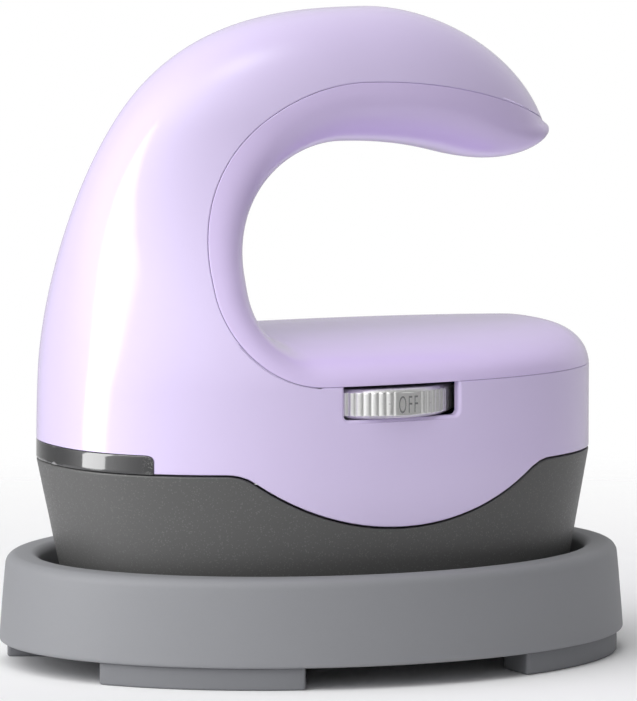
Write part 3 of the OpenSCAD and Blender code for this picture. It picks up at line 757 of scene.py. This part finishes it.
def fan_out(steps, length):
    """Share of the way from the seam to the outline, after a first narrow step."""
    if steps < 0.5:
        return 0.0
    first = min(NARROW / max(length, NARROW), 1 / SIDE_COLUMNS)
    return first + (1 - first) * math.sin(math.pi / 2 * (steps - 1) / (SIDE_COLUMNS - 1))


def seam_shares():
    """Share of the seam's length at each row, from the tip to the start of the deck."""
    walked = lengths_along([station(SEAM_ROWS - k)[0] for k in range(SEAM_ROWS - SEAM_PARTS[0][1] + 1)])
    return [length / walked[-1] for length in walked]


FAN_SHARES = seam_shares()


def on_side(half, across):
    """The half width on the side that across names, and nothing on the middle plane."""
    return 0.0 if abs(across) < 1e-6 else math.copysign(half, across)


def handle_place(u, v):
    across = 2 * u - 1
    row = round(v * (len(FAN_SHARES) - 1))
    inner = station(SEAM_ROWS - row)[0]
    outer = even_outline(FAN_SHARES[row])
    out = fan_out(SIDE_COLUMNS * (1 - abs(across)), math.dist(inner, outer))
    x = inner[0] + (outer[0] - inner[0]) * out
    z = inner[1] + (outer[1] - inner[1]) * out
    return x, on_side(side_of(x, z), across), z


print("rows of the handle's grid:", len(FAN_SHARES))

# %% [markdown]
# ## The skirt below the handle
#
# The skirt goes round the body between the deck and the parting line. Where it carries the handle, its
# columns go on from the handle's, so that the two grids can be merged there. Round the nose it has
# columns of its own. The lower housing and the window use the same way round the body.

# %% Skirt's grid
def skirt_column(column):
    """Share of the half length and the side, for a column that goes round from the near corner."""
    middle, reach, _ = section(DECK)
    at_corner = (CORNER - middle) / reach
    if column <= 2 * SIDE_COLUMNS:
        across = column / SIDE_COLUMNS - 1
        heel_x = even_outline(1.0)[0]
        steps = SIDE_COLUMNS * (1 - abs(across))
        x = CORNER + (heel_x - CORNER) * fan_out(steps, CORNER - heel_x)
        return (x - middle) / reach, across
    across = 1 - (column - 2 * SIDE_COLUMNS) / NOSE_COLUMNS
    return at_corner + (1 - at_corner) * math.sin(math.pi / 2 * (1 - abs(across))), across


def on_body(along, across, z):
    """A place on the body's side, from its share of the half length, its side and its height."""
    middle, reach, half = section(z)
    return middle + along * reach, on_side(half * quarter(min(abs(along), 1.0), ROUNDNESS), across), z


def edge_height(along, gap):
    """Height at which a column meets the parting line."""
    z = PARTING
    for _ in range(8):
        middle, reach, _ = section(z)
        z = parting(middle + along * reach, gap)
    return z


def row_height(row, rows, low, high):
    """Even rows between two heights, with a narrow one at each end."""
    if row in (0, rows):
        return low if row == 0 else high
    return low + NARROW + (high - low - 2 * NARROW) * (row - 1) / (rows - 2)


def skirt_place(u, v):
    along, across = skirt_column(round(u * ROUND_COLUMNS) % ROUND_COLUMNS)
    z = row_height(round(v * SKIRT_ROWS), SKIRT_ROWS, edge_height(along, PARTING_GAP), DECK)
    return on_body(along, across, z)


print("columns round the body:", ROUND_COLUMNS)

# %% [markdown]
# ## Openings of the shell
#
# The shell has three openings: a slot for the dial, a notch for the window at the heel and a round hole
# for the cord gland. Each is cut with a closed form of its own. The dial's slot widens outwards like a
# bell mouth, because the thumb slides over its edge, so its form is a stack of rounded frames that
# follow the side.

# %% Cutters
SLOT_LEFT, SLOT_RIGHT, SLOT_FOOT = -11.35, 12.8, 49.6
SLOT_CORNER, SLOT_LIP = 1.0, 0.8
SLOT_INWARD, SLOT_OUTWARD, SLOT_ABOVE = 8.0, 4.0, 6.0
LIP_START, LIP_STEPS, CORNER_STEPS = 12, 6, 8
WINDOW_TOP = PARTING + 3.7
WINDOW_END = HEEL + 9.7
WINDOW_CORNER = 1.1
NOTCH_GAP, NOTCH_END_GAP = 0.12, 0.15
NOTCH_FOOT, NOTCH_REACH, BEYOND = 20.0, 5.0, 60.0
GLAND_MIDDLE = (0.0, 47.75)
GLAND_HOLE, HOLE_DEPTH = 4.9, 12.0


def slot_cutter():
    """A plug for the dial's slot that widens towards the outside like a bell mouth."""
    turns = [math.radians(LIP_START + (90 - LIP_START) * k / LIP_STEPS) for k in range(LIP_STEPS + 1)]
    rows = [(-SLOT_OUTWARD, SLOT_LIP * (1 - math.sin(turns[0])))]
    rows += [(SLOT_LIP * (1 - math.cos(t)), SLOT_LIP * (1 - math.sin(t))) for t in turns]
    rows += [(SLOT_INWARD, 0.0)]
    ring = [(side, 225 + 45 * side + 90 * k / CORNER_STEPS)
            for side in (-1, 1) for k in range(CORNER_STEPS + 1)]
    spots = len(ring) + 2

    def place(u, v):
        depth, grown = rows[round(v * (len(rows) - 1))]
        spot = round(u * spots) % spots
        if spot >= len(ring):
            x, z = (SLOT_RIGHT + grown if spot == len(ring) else SLOT_LEFT - grown), DECK + SLOT_ABOVE
        else:
            side, a = ring[spot][0], math.radians(ring[spot][1])
            radius = SLOT_CORNER + grown
            middle = SLOT_RIGHT - SLOT_CORNER if side > 0 else SLOT_LEFT + SLOT_CORNER
            x, z = middle + radius * math.cos(a), SLOT_FOOT + SLOT_CORNER + radius * math.sin(a)
        return x, depth - side_of(x, min(z, DECK)), z

    bm = bmesh.new()
    new_skin(bm, spots, len(rows) - 1, place)
    close_up(bm)
    return bm


def block(low, high):
    """A box between two corners, in millimetres."""
    bm = bmesh.new()
    bmesh.ops.create_cube(bm, size=1.0)
    for point in bm.verts:
        point.co = Vector([(l + h) / 2 + c * (h - l) for l, h, c in zip(low, high, point.co)]) * MM
    return bm


def notch_cutter():
    """A block for the window's notch; its upper corner is as round as the window's."""
    bm = block((HEEL - NOTCH_REACH, -BEYOND, NOTCH_FOOT),
               (WINDOW_END + NOTCH_END_GAP, BEYOND, WINDOW_TOP + NOTCH_GAP))
    corner = [e for e in bm.edges if all(v.co.x > WINDOW_END * MM and v.co.z > PARTING * MM
                                         for v in e.verts)]
    round_edges(bm, corner, WINDOW_CORNER + NOTCH_END_GAP, 6)
    return bm


def cord_hole_cutter():
    bm = bmesh.new()
    place = Matrix.Translation(Vector((GLAND_MIDDLE[0], PRESS_WIDTH / 2, GLAND_MIDDLE[1])) * MM)
    bmesh.ops.create_cone(bm, cap_ends=True, segments=48, radius1=GLAND_HOLE * MM, radius2=GLAND_HOLE * MM,
                          depth=HOLE_DEPTH * MM, matrix=place @ Matrix.Rotation(math.pi / 2, 4, "X"))
    return bm


print("slot from", SLOT_LEFT, "to", SLOT_RIGHT, "window up to", WINDOW_TOP, "gland hole", GLAND_HOLE)

# %% Shell with its openings
SHELL_ROUNDING, SURFACE_NEAR, TIP_CLEAR = 0.22, 0.3, 1.5


def at_surface(p):
    """Whether a place lies on the body's outer surface."""
    return abs(abs(p.y) - side_of(p.x, p.z)) < SURFACE_NEAR


def clear_of_tip(p):
    return at_surface(p) and math.dist((p.x, p.z), station(SEAM_ROWS)[0]) > TIP_CLEAR


def make_shell():
    skins = [(2 * SIDE_COLUMNS, len(FAN_SHARES) - 1, handle_place), (ROUND_COLUMNS, SKIRT_ROWS, skirt_place)]
    shell = moulded_skin("lavender_shell", skins, "lavender_shell", lavender, "outer_shell", SHELL_ROUNDING,
                         clear_of_tip)
    for cutter in (slot_cutter(), notch_cutter(), cord_hole_cutter()):
        cut_away(shell, cutter)
    even_shading(shell)
    return shell


shell = make_shell()
count(shell)

# %% [markdown]
# ## The lining of the finger gap
#
# The lining is one soft tongue: the deck under the fingers, the back of the gap and the underside of
# the grip. Every cross-section is a flat arch that starts on the shell's seam and is as wide as the body
# there. So the grid has one row for each place on the seam, and each row is an arch of its own depth.

# %% Lining
ARCH_COLUMNS, ARCH_POWER = 48, 2.6
TIP_BULGE, TIP_REACH_DOWN = 1.15, 2.5
LINING_ROUNDING, END_CLEAR = 0.12, 3.0


def arch_turn(column, depth):
    """Even turns over the arch, with a narrow step up from the seam on each side."""
    side = 1 if column > ARCH_COLUMNS / 2 else -1
    step = min(column, ARCH_COLUMNS - column)
    first = math.acos(min(NARROW / max(depth, NARROW), 0.6) ** (ARCH_POWER / 2))
    if step == 0:
        return side * math.pi / 2
    return side * first * (1 - (step - 1) / (ARCH_COLUMNS / 2 - 1))


def lining_place(u, v):
    """A place on the lining; its deck leans with the body's nose, and its tip has a small lip."""
    place, way, depth = station(round(v * SEAM_ROWS))
    turn = arch_turn(round(u * ARCH_COLUMNS), depth)
    rise = max(math.cos(turn), 0.0) ** (2 / ARCH_POWER)
    out = min(SEAM_GAP, depth) + max(depth - SEAM_GAP, 0.0) * rise
    x, z = place[0] + way[0] * out, place[1] + way[1] * out
    if way == UPWARD:
        x -= (NOSE - front_of(z)) * share(x, NOSE - NOSE_ROUND, NOSE) ** 3
    half = side_of(x, z)
    if place[1] > TIP_HEIGHT:
        drop = max(grip_seam(SEAM_END) - z, 0.0) / TIP_REACH_DOWN
        x += TIP_BULGE * ease(share(x, SEAM_END - TIP_ROUND, SEAM_END)) * math.sqrt(drop * math.exp(1 - drop))
    return x, math.copysign(half * abs(math.sin(turn)) ** (2 / ARCH_POWER), turn), z


def at_seam(p):
    """Whether a place is on the lining's edge, away from its two ends."""
    ends = [station(row)[0] for row in (0, SEAM_ROWS)]
    return min(math.dist((p.x, p.z), end) for end in ends) > END_CLEAR and at_surface(p)


def make_lining():
    skins = [(ARCH_COLUMNS, SEAM_ROWS, lining_place)]
    lining = moulded_skin("finger_lining", skins, "lavender_liner", lavender_shaded_lining, "grip_liner",
                          LINING_ROUNDING, at_seam)
    even_shading(lining)
    return lining


lining = make_lining()
count(lining)

# %% [markdown]
# ## Lower housing and window
#
# The dark housing leans in towards the plate, and its upper edge is the parting line. The smoked window
# is a strip of the body's own surface round the heel, so that it lies flush with the shell around it.
# Both are grids round the body, walled and rounded like the shell.

# %% Lower housing
HOUSING_ROWS, HOUSING_DROP, HOUSING_ROUNDING = 22, 0.1, 0.25


def housing_place(u, v):
    along, across = skirt_column(round(u * ROUND_COLUMNS) % ROUND_COLUMNS)
    high = edge_height(along, 0.0) - HOUSING_DROP
    return on_body(along, across, row_height(round(v * HOUSING_ROWS), HOUSING_ROWS, HOUSING_FOOT, high))


def make_housing():
    skins = [(ROUND_COLUMNS, HOUSING_ROWS, housing_place)]
    housing = moulded_skin("dark_housing", skins, "dark_housing", dark_flaked, "lower_housing",
                           HOUSING_ROUNDING, at_surface)
    even_shading(housing)
    return housing


housing = make_housing()
count(housing)

# %% Window
WINDOW_COLUMNS, WINDOW_ROWS, WINDOW_ROUNDING = 96, 6, 0.15
WINDOW_END_GAP, COLUMN_POWER = 0.1, 1.5


def window_place(u, v):
    """A place on the strip; the columns crowd at its two ends, where its corners are round."""
    across = 2 * u - 1
    middle, reach, _ = section(PARTING)
    end = (WINDOW_END - WINDOW_END_GAP - middle) / reach
    along = end + (-1 - end) * math.sin(math.pi / 2 * (1 - abs(across)) ** COLUMN_POWER)
    from_end = min((end - along) * reach, WINDOW_CORNER)
    top = WINDOW_TOP - WINDOW_CORNER + math.sqrt(WINDOW_CORNER ** 2 - (WINDOW_CORNER - from_end) ** 2)
    foot = PARTING + NOTCH_GAP
    return on_body(along, across, foot + (top - foot) * v)


def make_window():
    skins = [(WINDOW_COLUMNS, WINDOW_ROWS, window_place)]
    window = moulded_skin("smoked_strip", skins, "smoked_window", smoked, "indicator_window",
                          WINDOW_ROUNDING, at_surface)
    even_shading(window)
    return window


window = make_window()
count(window)

# %% [markdown]
# ## The hot plate, its rest and the cord gland
#
# The plate is cast aluminium with a smooth, slightly rounded sole. In the base it rests on four pads of
# a silicone insert, which keep the heat away from the tray. A rubber gland on the far side is for the
# power cord, and its ribs let a cord bend softly. All three are out of sight in the picture, so their
# details follow common presses of this kind. Plate and insert are lofts through ovals, like the base,
# and the gland is a section carried round the cord's line.

# %% Finishes of plate, insert and gland
def metal(name, colour, roughness):
    finish = Finish(name, Metallic=1.0)
    fine = finish.noise(700.0, 3.0)
    finish.set(Base_Color=finish.mix(fine, toned(colour, 0.85), colour),
               Roughness=fine * 0.2 + (roughness - 0.1),
               Normal=finish.bump(fine, 0.008, 0.3))
    return finish.material


aluminium = metal("cast_aluminium", (0.66, 0.66, 0.68), 0.40)
silicone = matte_plastic("silicone_black", (0.030, 0.030, 0.032), 0.75, 1400.0, 0.03)
black_rubber = matte_plastic("black_rubber", (0.022, 0.022, 0.024), 0.50, 1500.0, 0.02)
print("made", aluminium.name, silicone.name, black_rubber.name)

# %% Plate and insert
PLATE_FOOT, PLATE_TOP, PLATE_INSET, PLATE_RING, PLATE_MIDDLE = 10.0, 16.0, 2.5, 10.0, 28.0
SOLE_ROUNDING, PLATE_ROUNDING = 1.3, 0.4
INSERT_FOOT, INSERT_TOP, INSERT_INSET, INSERT_RING, INSERT_MIDDLE = 6.8, 8.8, 8.8, 11.0, 30.0
INSERT_ROUNDING = 0.5
BOSS_RADIUS, BOSS_ROUNDING = 3.5, 0.3
PAD_RADIUS, PAD_ROUNDING = 5.0, 0.5


def plate_oval(inset, a):
    middle, reach, half = section(HOUSING_FOOT)
    x, y = math.cos(a), math.sin(a)
    return (middle + (reach - inset) * math.copysign(abs(x) ** (2 / ROUNDNESS), x),
            (half - inset) * math.copysign(abs(y) ** (2 / ROUNDNESS), y))


def add_pin(bm, x, y, foot, top, radius, rounding):
    """A round upright pin with a soft upper edge, in millimetres."""
    place = Matrix.Translation(Vector((x, y, (foot + top) / 2)) * MM)
    made = bmesh.ops.create_cone(bm, cap_ends=True, segments=40, radius1=radius * MM, radius2=radius * MM,
                                 depth=(top - foot) * MM, matrix=place)["verts"]
    rim = {e for v in made if v.co.z > place.translation.z for e in v.link_edges
           if all(end.co.z > place.translation.z for end in e.verts)}
    round_edges(bm, list(rim), rounding)


def node_middle(node):
    low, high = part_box(node)
    return (Vector(low) + Vector(high)) / 2 / MM


def make_plate():
    sole, edge = SOLE_ROUNDING, PLATE_ROUNDING
    rows = ([(PLATE_MIDDLE, PLATE_FOOT), (PLATE_RING, PLATE_FOOT)]
            + arc_points(PLATE_INSET + sole, PLATE_FOOT + sole, sole, sole, 270, 180, 6)
            + [(PLATE_INSET, PLATE_FOOT + sole + 0.5), (PLATE_INSET, PLATE_TOP - 2 * edge)]
            + arc_points(PLATE_INSET + edge, PLATE_TOP - edge, edge, edge, 180, 90, 3)
            + [(PLATE_RING, PLATE_TOP), (PLATE_MIDDLE, PLATE_TOP)])
    bm = closed_loft(rows, plate_oval)
    for number in (1, 2, 3, 4):
        boss = node_middle(f"plate_screw_{number}")
        add_pin(bm, boss.x, boss.y, PLATE_TOP - 1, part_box("heat_shield")[0][2] / MM, BOSS_RADIUS,
                BOSS_ROUNDING)
    return new_piece("hot_plate", bm, "press", "aluminium", aluminium, "heating_plate")


def make_insert():
    edge = INSERT_ROUNDING
    rows = ([(INSERT_MIDDLE, INSERT_FOOT), (INSERT_INSET, INSERT_FOOT), (INSERT_INSET, INSERT_TOP - 0.8)]
            + arc_points(INSERT_INSET + edge, INSERT_TOP - edge, edge, edge, 180, 90, 4)
            + [(INSERT_RING, INSERT_TOP), (INSERT_MIDDLE, INSERT_TOP)])
    bm = closed_loft(rows, base_oval)
    for number in (1, 2, 3, 4):
        pad = node_middle(f"base_screw_{number}")
        add_pin(bm, pad.x, pad.y, INSERT_TOP - 0.5, PLATE_FOOT, PAD_RADIUS, PAD_ROUNDING)
    return new_piece("silicone_insert", bm, "base", "silicone", silicone, "base_insert")


hot_plate = make_plate()
silicone_insert = make_insert()
count(hot_plate)
count(silicone_insert)

# %% Cord gland
CORD_RADIUS = 3.5
GLAND_RIBS, RIB_START, RIB_PITCH, RIB_RADIUS, RIB_TAPER = 5, 2.4, 1.3, 5.1, 0.13


def gland_section():
    """The gland's closed section, as (radius, distance from the body's side)."""
    outer = [(4.85, -3.0), (4.85, 0.3), (6.1, 0.3), (6.5, 0.7), (6.5, 1.5), (6.1, 1.9), (5.2, 2.1)]
    for rib in range(GLAND_RIBS):
        start = RIB_START + RIB_PITCH * rib
        radius = RIB_RADIUS - RIB_TAPER * rib
        outer += [(radius - 0.55, start), (radius - 0.05, start + 0.1), (radius, start + 0.2),
                  (radius, start + 0.75), (radius - 0.05, start + 0.85), (radius - 0.55, start + 0.95)]
    return outer + [(4.0, 9.1), (4.0, 9.2), (CORD_RADIUS, 9.2), (CORD_RADIUS, -3.0)]


def make_gland():
    section_points = gland_section()

    def place(u, v):
        radius, away = section_points[round(v * len(section_points)) % len(section_points)]
        a = 2 * math.pi * u
        return (GLAND_MIDDLE[0] + radius * math.cos(a), PRESS_WIDTH / 2 + away,
                GLAND_MIDDLE[1] + radius * math.sin(a))

    bm = bmesh.new()
    new_skin(bm, 48, len(section_points), place)
    weld(bm)
    gland = new_piece("ribbed_gland", bm, "press", "dark_plastic", black_rubber, "cord_gland")
    gland.data.set_sharp_from_angle(angle=math.radians(50))
    return gland


gland = make_gland()
count(gland)

# %% [markdown]
# ## The thumb dial
#
# The dial is a flat silver wheel. Its rim carries fine rounded ribs for the thumb, which stop short of
# two smooth chamfers, and four flat facets with the settings. A gear could be cut with Booleans, but a
# grid wrapped round the rim gives the same ribs with a formula and leaves clean rows for the chamfers.

# %% Dial finish
def brushed_silver(name):
    finish = Finish(name, IOR=1.5, Metallic=0.70)
    flat = finish.add("ShaderNodeMapping", {}, {"Vector": finish.place, "Scale": (1.0, 1.0, 9.0)}, "Vector")
    fine = finish.noise(900.0, 3.0, place=flat)
    finish.set(Base_Color=finish.mix(fine, (0.88, 0.88, 0.87), (0.99, 0.99, 0.98)),
               Roughness=fine * 0.12 + 0.24,
               Normal=finish.bump(fine, 0.006, 0.3))
    return finish.material


silver = brushed_silver("brushed_silver")
ink = matte_plastic("grey_ink", (0.190, 0.190, 0.195), 0.60, 3000.0, 0.005)
print("made", silver.name, "and", ink.name)

# %% Dial
DIAL_RADIUS, DIAL_FOOT, DIAL_HEIGHT = 17.0, 49.75, 5.6
DIAL_BORE, DIAL_PROUD = 3.6, 1.8
DIAL_MIDDLE = (0.0, -PRESS_WIDTH / 2 - DIAL_PROUD + DIAL_RADIUS)
RIBS, RIB_POINTS, RIB_DEPTH, RIB_POWER = 72, 12, 0.42, 0.55
FACET_HALF, FACET_DEPTH, FACET_RAISED = 9.4, 0.30, 0.22
OFF_AT, SETTING_STEP = -86.3, 45.0
# each setting's word and its width in millimetres
SETTINGS = [("OFF", 4.1), ("1", 0.7), ("2", 1.6), ("3", 1.6)]


def rib_depth(degrees):
    """How far the rim lies under the dial's radius: rounded ribs, and a flat facet at each setting."""
    nearest = min(abs((degrees - OFF_AT - k * SETTING_STEP + 180) % 360 - 180) for k in range(len(SETTINGS)))
    if nearest < FACET_HALF:
        flat = (DIAL_RADIUS - FACET_DEPTH) * math.cos(math.radians(FACET_HALF))
        return DIAL_RADIUS - FACET_RAISED - flat / math.cos(math.radians(nearest))
    wave = (degrees - OFF_AT - FACET_HALF) * RIBS / 360 % 1.0
    return RIB_DEPTH * (1 - abs(math.sin(math.pi * wave)) ** RIB_POWER)


def dial_rows():
    """Rows of the dial's closed section: inset from the rim, height, and share of the rib's depth."""
    low, high = DIAL_FOOT, DIAL_FOOT + DIAL_HEIGHT
    bore = DIAL_RADIUS - DIAL_BORE
    half = [(bore, 0.0, 0), (6.0, 0.0, 0), (1.2, 0.0, 0), (0.95, 0.04, 0), (0.42, 0.45, 0), (0.36, 0.53, 0),
            (0.08, 0.60, 0.5), (0.0, 0.70, 1), (0.0, 0.85, 1), (0.0, 1.6, 1)]
    return ([(inset, low + up, ribbed) for inset, up, ribbed in half]
            + [(inset, high - up, ribbed) for inset, up, ribbed in reversed(half)])


def make_dial():
    rows = dial_rows()

    def place(u, v):
        inset, z, ribbed = rows[round(v * len(rows)) % len(rows)]
        degrees = OFF_AT + 360 * u
        radius = DIAL_RADIUS - inset - ribbed * rib_depth(degrees)
        a = math.radians(degrees)
        return DIAL_MIDDLE[0] + radius * math.cos(a), DIAL_MIDDLE[1] + radius * math.sin(a), z

    bm = bmesh.new()
    new_skin(bm, RIBS * RIB_POINTS, len(rows), place)
    weld(bm)
    dial = new_piece("thumb_dial", bm, "dial", "dial_silver", silver, "dial_wheel")
    even_shading(dial)
    return dial


dial = make_dial()
count(dial)

# %% [markdown]
# ## Settings on the dial
#
# The facets say OFF and 1 to 3 in thin upright letters. Letters come from a text object, which is made
# a mesh before it is moved, so that its place ends up in the mesh. It is squeezed sideways for the tall
# narrow letters, and laid a few hundredths of a millimetre proud of its facet, like pad-printed ink.

# %% Dial settings
LETTER_HEIGHT, LETTER_DROP = 3.25, 0.17
INK_OUT, INK_IN = 0.03, -0.05


def word_mesh(word):
    """A word in thin, widely spaced letters, in the text object's own units."""
    curve = bpy.data.curves.new(f"setting_{word}", "FONT")
    curve.body = word
    curve.size = 1.0
    curve.space_character = 1.25
    curve.offset = -0.008
    curve.extrude = 0.02
    text = new_object(f"setting_{word}", curve)
    bpy.context.view_layer.update()
    mesh = bpy.data.meshes.new_from_object(text.evaluated_get(bpy.context.evaluated_depsgraph_get()))
    bpy.data.objects.remove(text)
    return mesh


def make_setting(word, degrees, width):
    """Stretches a word to its width and height, and lays it on the facet at an angle."""
    mesh = word_mesh(word)
    low = [min(v.co[k] for v in mesh.vertices) for k in range(3)]
    high = [max(v.co[k] for v in mesh.vertices) for k in range(3)]
    a = math.radians(degrees)
    outward = Vector((math.cos(a), math.sin(a), 0))
    sideways = Vector((-math.sin(a), math.cos(a), 0))
    centre = Vector((*DIAL_MIDDLE, DIAL_FOOT + DIAL_HEIGHT / 2 - LETTER_DROP))
    facet = DIAL_RADIUS - rib_depth(degrees)
    for v in mesh.vertices:
        across = ((v.co.x - low[0]) / (high[0] - low[0]) - 0.5) * width
        up = ((v.co.y - low[1]) / (high[1] - low[1]) - 0.5) * LETTER_HEIGHT
        away = facet + (INK_OUT if v.co.z > 0 else INK_IN)
        v.co = (centre + sideways * across + outward * away + Vector((0, 0, up))) * MM
    piece = new_object(f"setting_{word}", mesh)
    mesh.materials.clear()
    mesh.materials.append(ink)
    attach(piece, "dial")
    return piece


settings = [make_setting(word, OFF_AT + k * SETTING_STEP, width) for k, (word, width) in enumerate(SETTINGS)]
print("settings:", [s.name for s in settings])

# %% [markdown]
# ## Finishes of the parts inside
#
# Some parts keep the shape that the construction gives them, and only need their finish: the parts over
# the plate, the boards and their components, the wires and the screws. Each real material gets its own
# finish once, and a table says which finish belongs to each of the record's materials.

# %% Finishes for the construction's own parts
def felt(name, colour):
    finish = Finish(name)
    fibre = finish.noise(1500.0, 5.0, 0.7)
    finish.set(Base_Color=finish.mix(fibre, toned(colour, 0.7), colour),
               Roughness=fibre * 0.1 + 0.85, Normal=finish.bump(fibre, 0.15, 0.8))
    return finish.material


def board_green(name):
    finish = Finish(name, Coat_Weight=0.4, Coat_Roughness=0.15)
    weave = finish.noise(1600.0, 1.0)
    tracks = finish.cells(260.0).over(0.6, 0.05)
    finish.set(Base_Color=finish.mix(tracks, (0.010, 0.085, 0.030), (0.016, 0.130, 0.045)),
               Roughness=weave * 0.1 + 0.32, Normal=finish.bump(tracks, 0.02, 0.4))
    return finish.material


FINISH_OF = {
    "grey_base": base_grey,
    "silicone": silicone,
    "foot_rubber": foot_grey,
    "steel": metal("zinc_steel", (0.58, 0.58, 0.60), 0.35),
    "lavender_shell": lavender,
    "lavender_liner": lavender_shaded_lining,
    "dark_housing": dark_flaked,
    "smoked_window": smoked,
    "milky_plastic": matte_plastic("milky_plastic", (0.78, 0.78, 0.75), 0.45, 900.0, 0.01),
    "board": board_green("board_green"),
    "lamp_red": matte_plastic("lamp_red", (0.60, 0.03, 0.02), 0.20, 400.0, 0.002),
    "lamp_amber": matte_plastic("lamp_amber", (0.75, 0.28, 0.02), 0.20, 400.0, 0.002),
    "lamp_green": matte_plastic("lamp_green", (0.05, 0.45, 0.08), 0.20, 400.0, 0.002),
    "dial_silver": silver,
    "dark_plastic": black_rubber,
    "spring_brass": metal("spring_brass", (0.75, 0.52, 0.22), 0.30),
    "relay_blue": matte_plastic("relay_blue", (0.020, 0.075, 0.33), 0.40, 1200.0, 0.01),
    "terminal_green": matte_plastic("terminal_green", (0.020, 0.26, 0.09), 0.45, 1200.0, 0.01),
    "aluminium": aluminium,
    "heater_steel": metal("heater_steel", (0.33, 0.29, 0.25), 0.45),
    "sensor_white": matte_plastic("sensor_white", (0.74, 0.71, 0.62), 0.60, 1200.0, 0.01),
    "insulation": felt("insulation_felt", (0.74, 0.71, 0.62)),
    "wire_red": matte_plastic("wire_red", (0.40, 0.02, 0.02), 0.50, 900.0, 0.01),
    "wire_blue": matte_plastic("wire_blue", (0.02, 0.06, 0.28), 0.50, 900.0, 0.01),
}
slot_of = {part["node"]: part["material_slot"] for part in frame["record"]["subparts"]}
for node, part in frame["nodes"].items():
    part.data.materials.clear()
    part.data.materials.append(FINISH_OF[slot_of[node]])
print("finished", len(frame["nodes"]), "parts of the construction")

# %% [markdown]
# ## Floor
#
# The press stands on a plain pale floor. A floor without end would cut the picture with its horizon, so
# it is a disc whose alpha fades out towards the rim.

# %% Floor
def make_floor(radius, fade_from, fade_to):
    bm = bmesh.new()
    bmesh.ops.create_circle(bm, cap_ends=True, segments=96, radius=radius)
    mesh = bpy.data.meshes.new("floor")
    bm.to_mesh(mesh)
    bm.free()
    floor = new_object("floor", mesh)
    finish = Finish("pale_floor", Roughness=0.9, Specular_IOR_Level=0.1)
    away = finish.add("ShaderNodeVectorMath", {"operation": "LENGTH"}, {0: finish.place}, "Value")
    solid = 1 - away.over((fade_from + fade_to) / 2, fade_to - fade_from)
    finish.set(Base_Color=(0.93, 0.93, 0.94), Alpha=solid)
    mesh.materials.append(finish.material)
    return floor


floor = make_floor(radius=0.40, fade_from=0.16, fade_to=0.34)
print("made", floor.name)

# %% [markdown]
# ## Lights and surroundings
#
# The studio is bright. A tall softbox on the left draws the long highlight on the back of the press. The
# other lights are so large and soft that lamps would only be seen as edges in the gloss, so they are
# smooth swells of the surroundings: strong from the upper left, weak from behind and from the right.

# %% Studio lights
TOWARDS_CAMERA = Vector((math.sin(CAMERA_AZIMUTH), -math.cos(CAMERA_AZIMUTH), 0))
LEFT_OF_CAMERA = Vector((-math.cos(CAMERA_AZIMUTH), -math.sin(CAMERA_AZIMUTH), 0))


def studio_direction(turn, rise):
    """A direction given in degrees: the turn leftwards from the camera, and the rise."""
    a, up = math.radians(turn), math.radians(rise)
    level = TOWARDS_CAMERA * math.cos(a) + LEFT_OF_CAMERA * math.sin(a)
    return level * math.cos(up) + Vector((0, 0, math.sin(up)))


# turn, rise, tightness and strength of each soft light in the surroundings
SOFT_LIGHTS = [
    (28, 45, 8, 1.45),
    (75, 45, 8, 1.72),
    (82, 6, 8, 1.85),
    (8, 76, 40, 3.6),
    (-130, 10, 8, 0.75),
    (18, 10, 2, 0.64),
    (180, 20, 2, 0.60),
]


def surround(backdrop_strength=1.0):
    """Soft lights all round; the camera itself sees plain white."""
    world = bpy.data.worlds.new("studio")
    bpy.context.scene.world = world
    world.use_nodes = True
    net = Network(world.node_tree)
    way = net.add("ShaderNodeTexCoord", {}, {}, "Generated")
    total = 0.0
    for turn, rise, tightness, strength in SOFT_LIGHTS:
        toward = net.add("ShaderNodeVectorMath", {"operation": "DOT_PRODUCT"},
                         {0: way, 1: tuple(studio_direction(turn, rise))}, "Value")
        total = toward.math("MAXIMUM", 0.0) ** tightness * strength + total
    glow = net.add("ShaderNodeBackground", {}, {"Color": (1, 1, 1), "Strength": total})
    backdrop = net.add("ShaderNodeBackground", {}, {"Color": (1, 1, 1), "Strength": backdrop_strength})
    by_camera = net.add("ShaderNodeLightPath", {}, {}, "Is Camera Ray")
    shown = net.add("ShaderNodeMixShader", {}, {0: by_camera, 1: glow, 2: backdrop})
    net.feed(net.tree.nodes["World Output"].inputs["Surface"], shown)
    return world


LAMP_HEIGHT = Vector((0, 0, 0.06))


def softbox(name, low, high, away, width, power):
    """A long lamp that only draws a highlight; its middle line runs between two studio directions."""
    ends = [studio_direction(*end) * away + LAMP_HEIGHT for end in (low, high)]
    place = (ends[0] + ends[1]) / 2
    along = (ends[1] - ends[0]).normalized()
    back = (place - LAMP_HEIGHT).normalized()
    across = along.cross(back).normalized()
    data = bpy.data.lights.new(name, "AREA")
    data.shape = "RECTANGLE"
    data.size, data.size_y = width, (ends[1] - ends[0]).length
    data.energy = power
    lamp = new_object(name, data)
    turned = Matrix((across, along, across.cross(along))).transposed().to_4x4()
    lamp.matrix_world = Matrix.Translation(place) @ turned
    lamp.visible_diffuse = False
    return lamp


lamp = softbox("side_softbox", low=(90, -14), high=(46, 40), away=0.76, width=0.23, power=3.2)
studio = surround()
bpy.context.scene.view_settings.view_transform = "Standard"
print("lights:", lamp.name, "and", len(SOFT_LIGHTS), "soft lights in", studio.name)
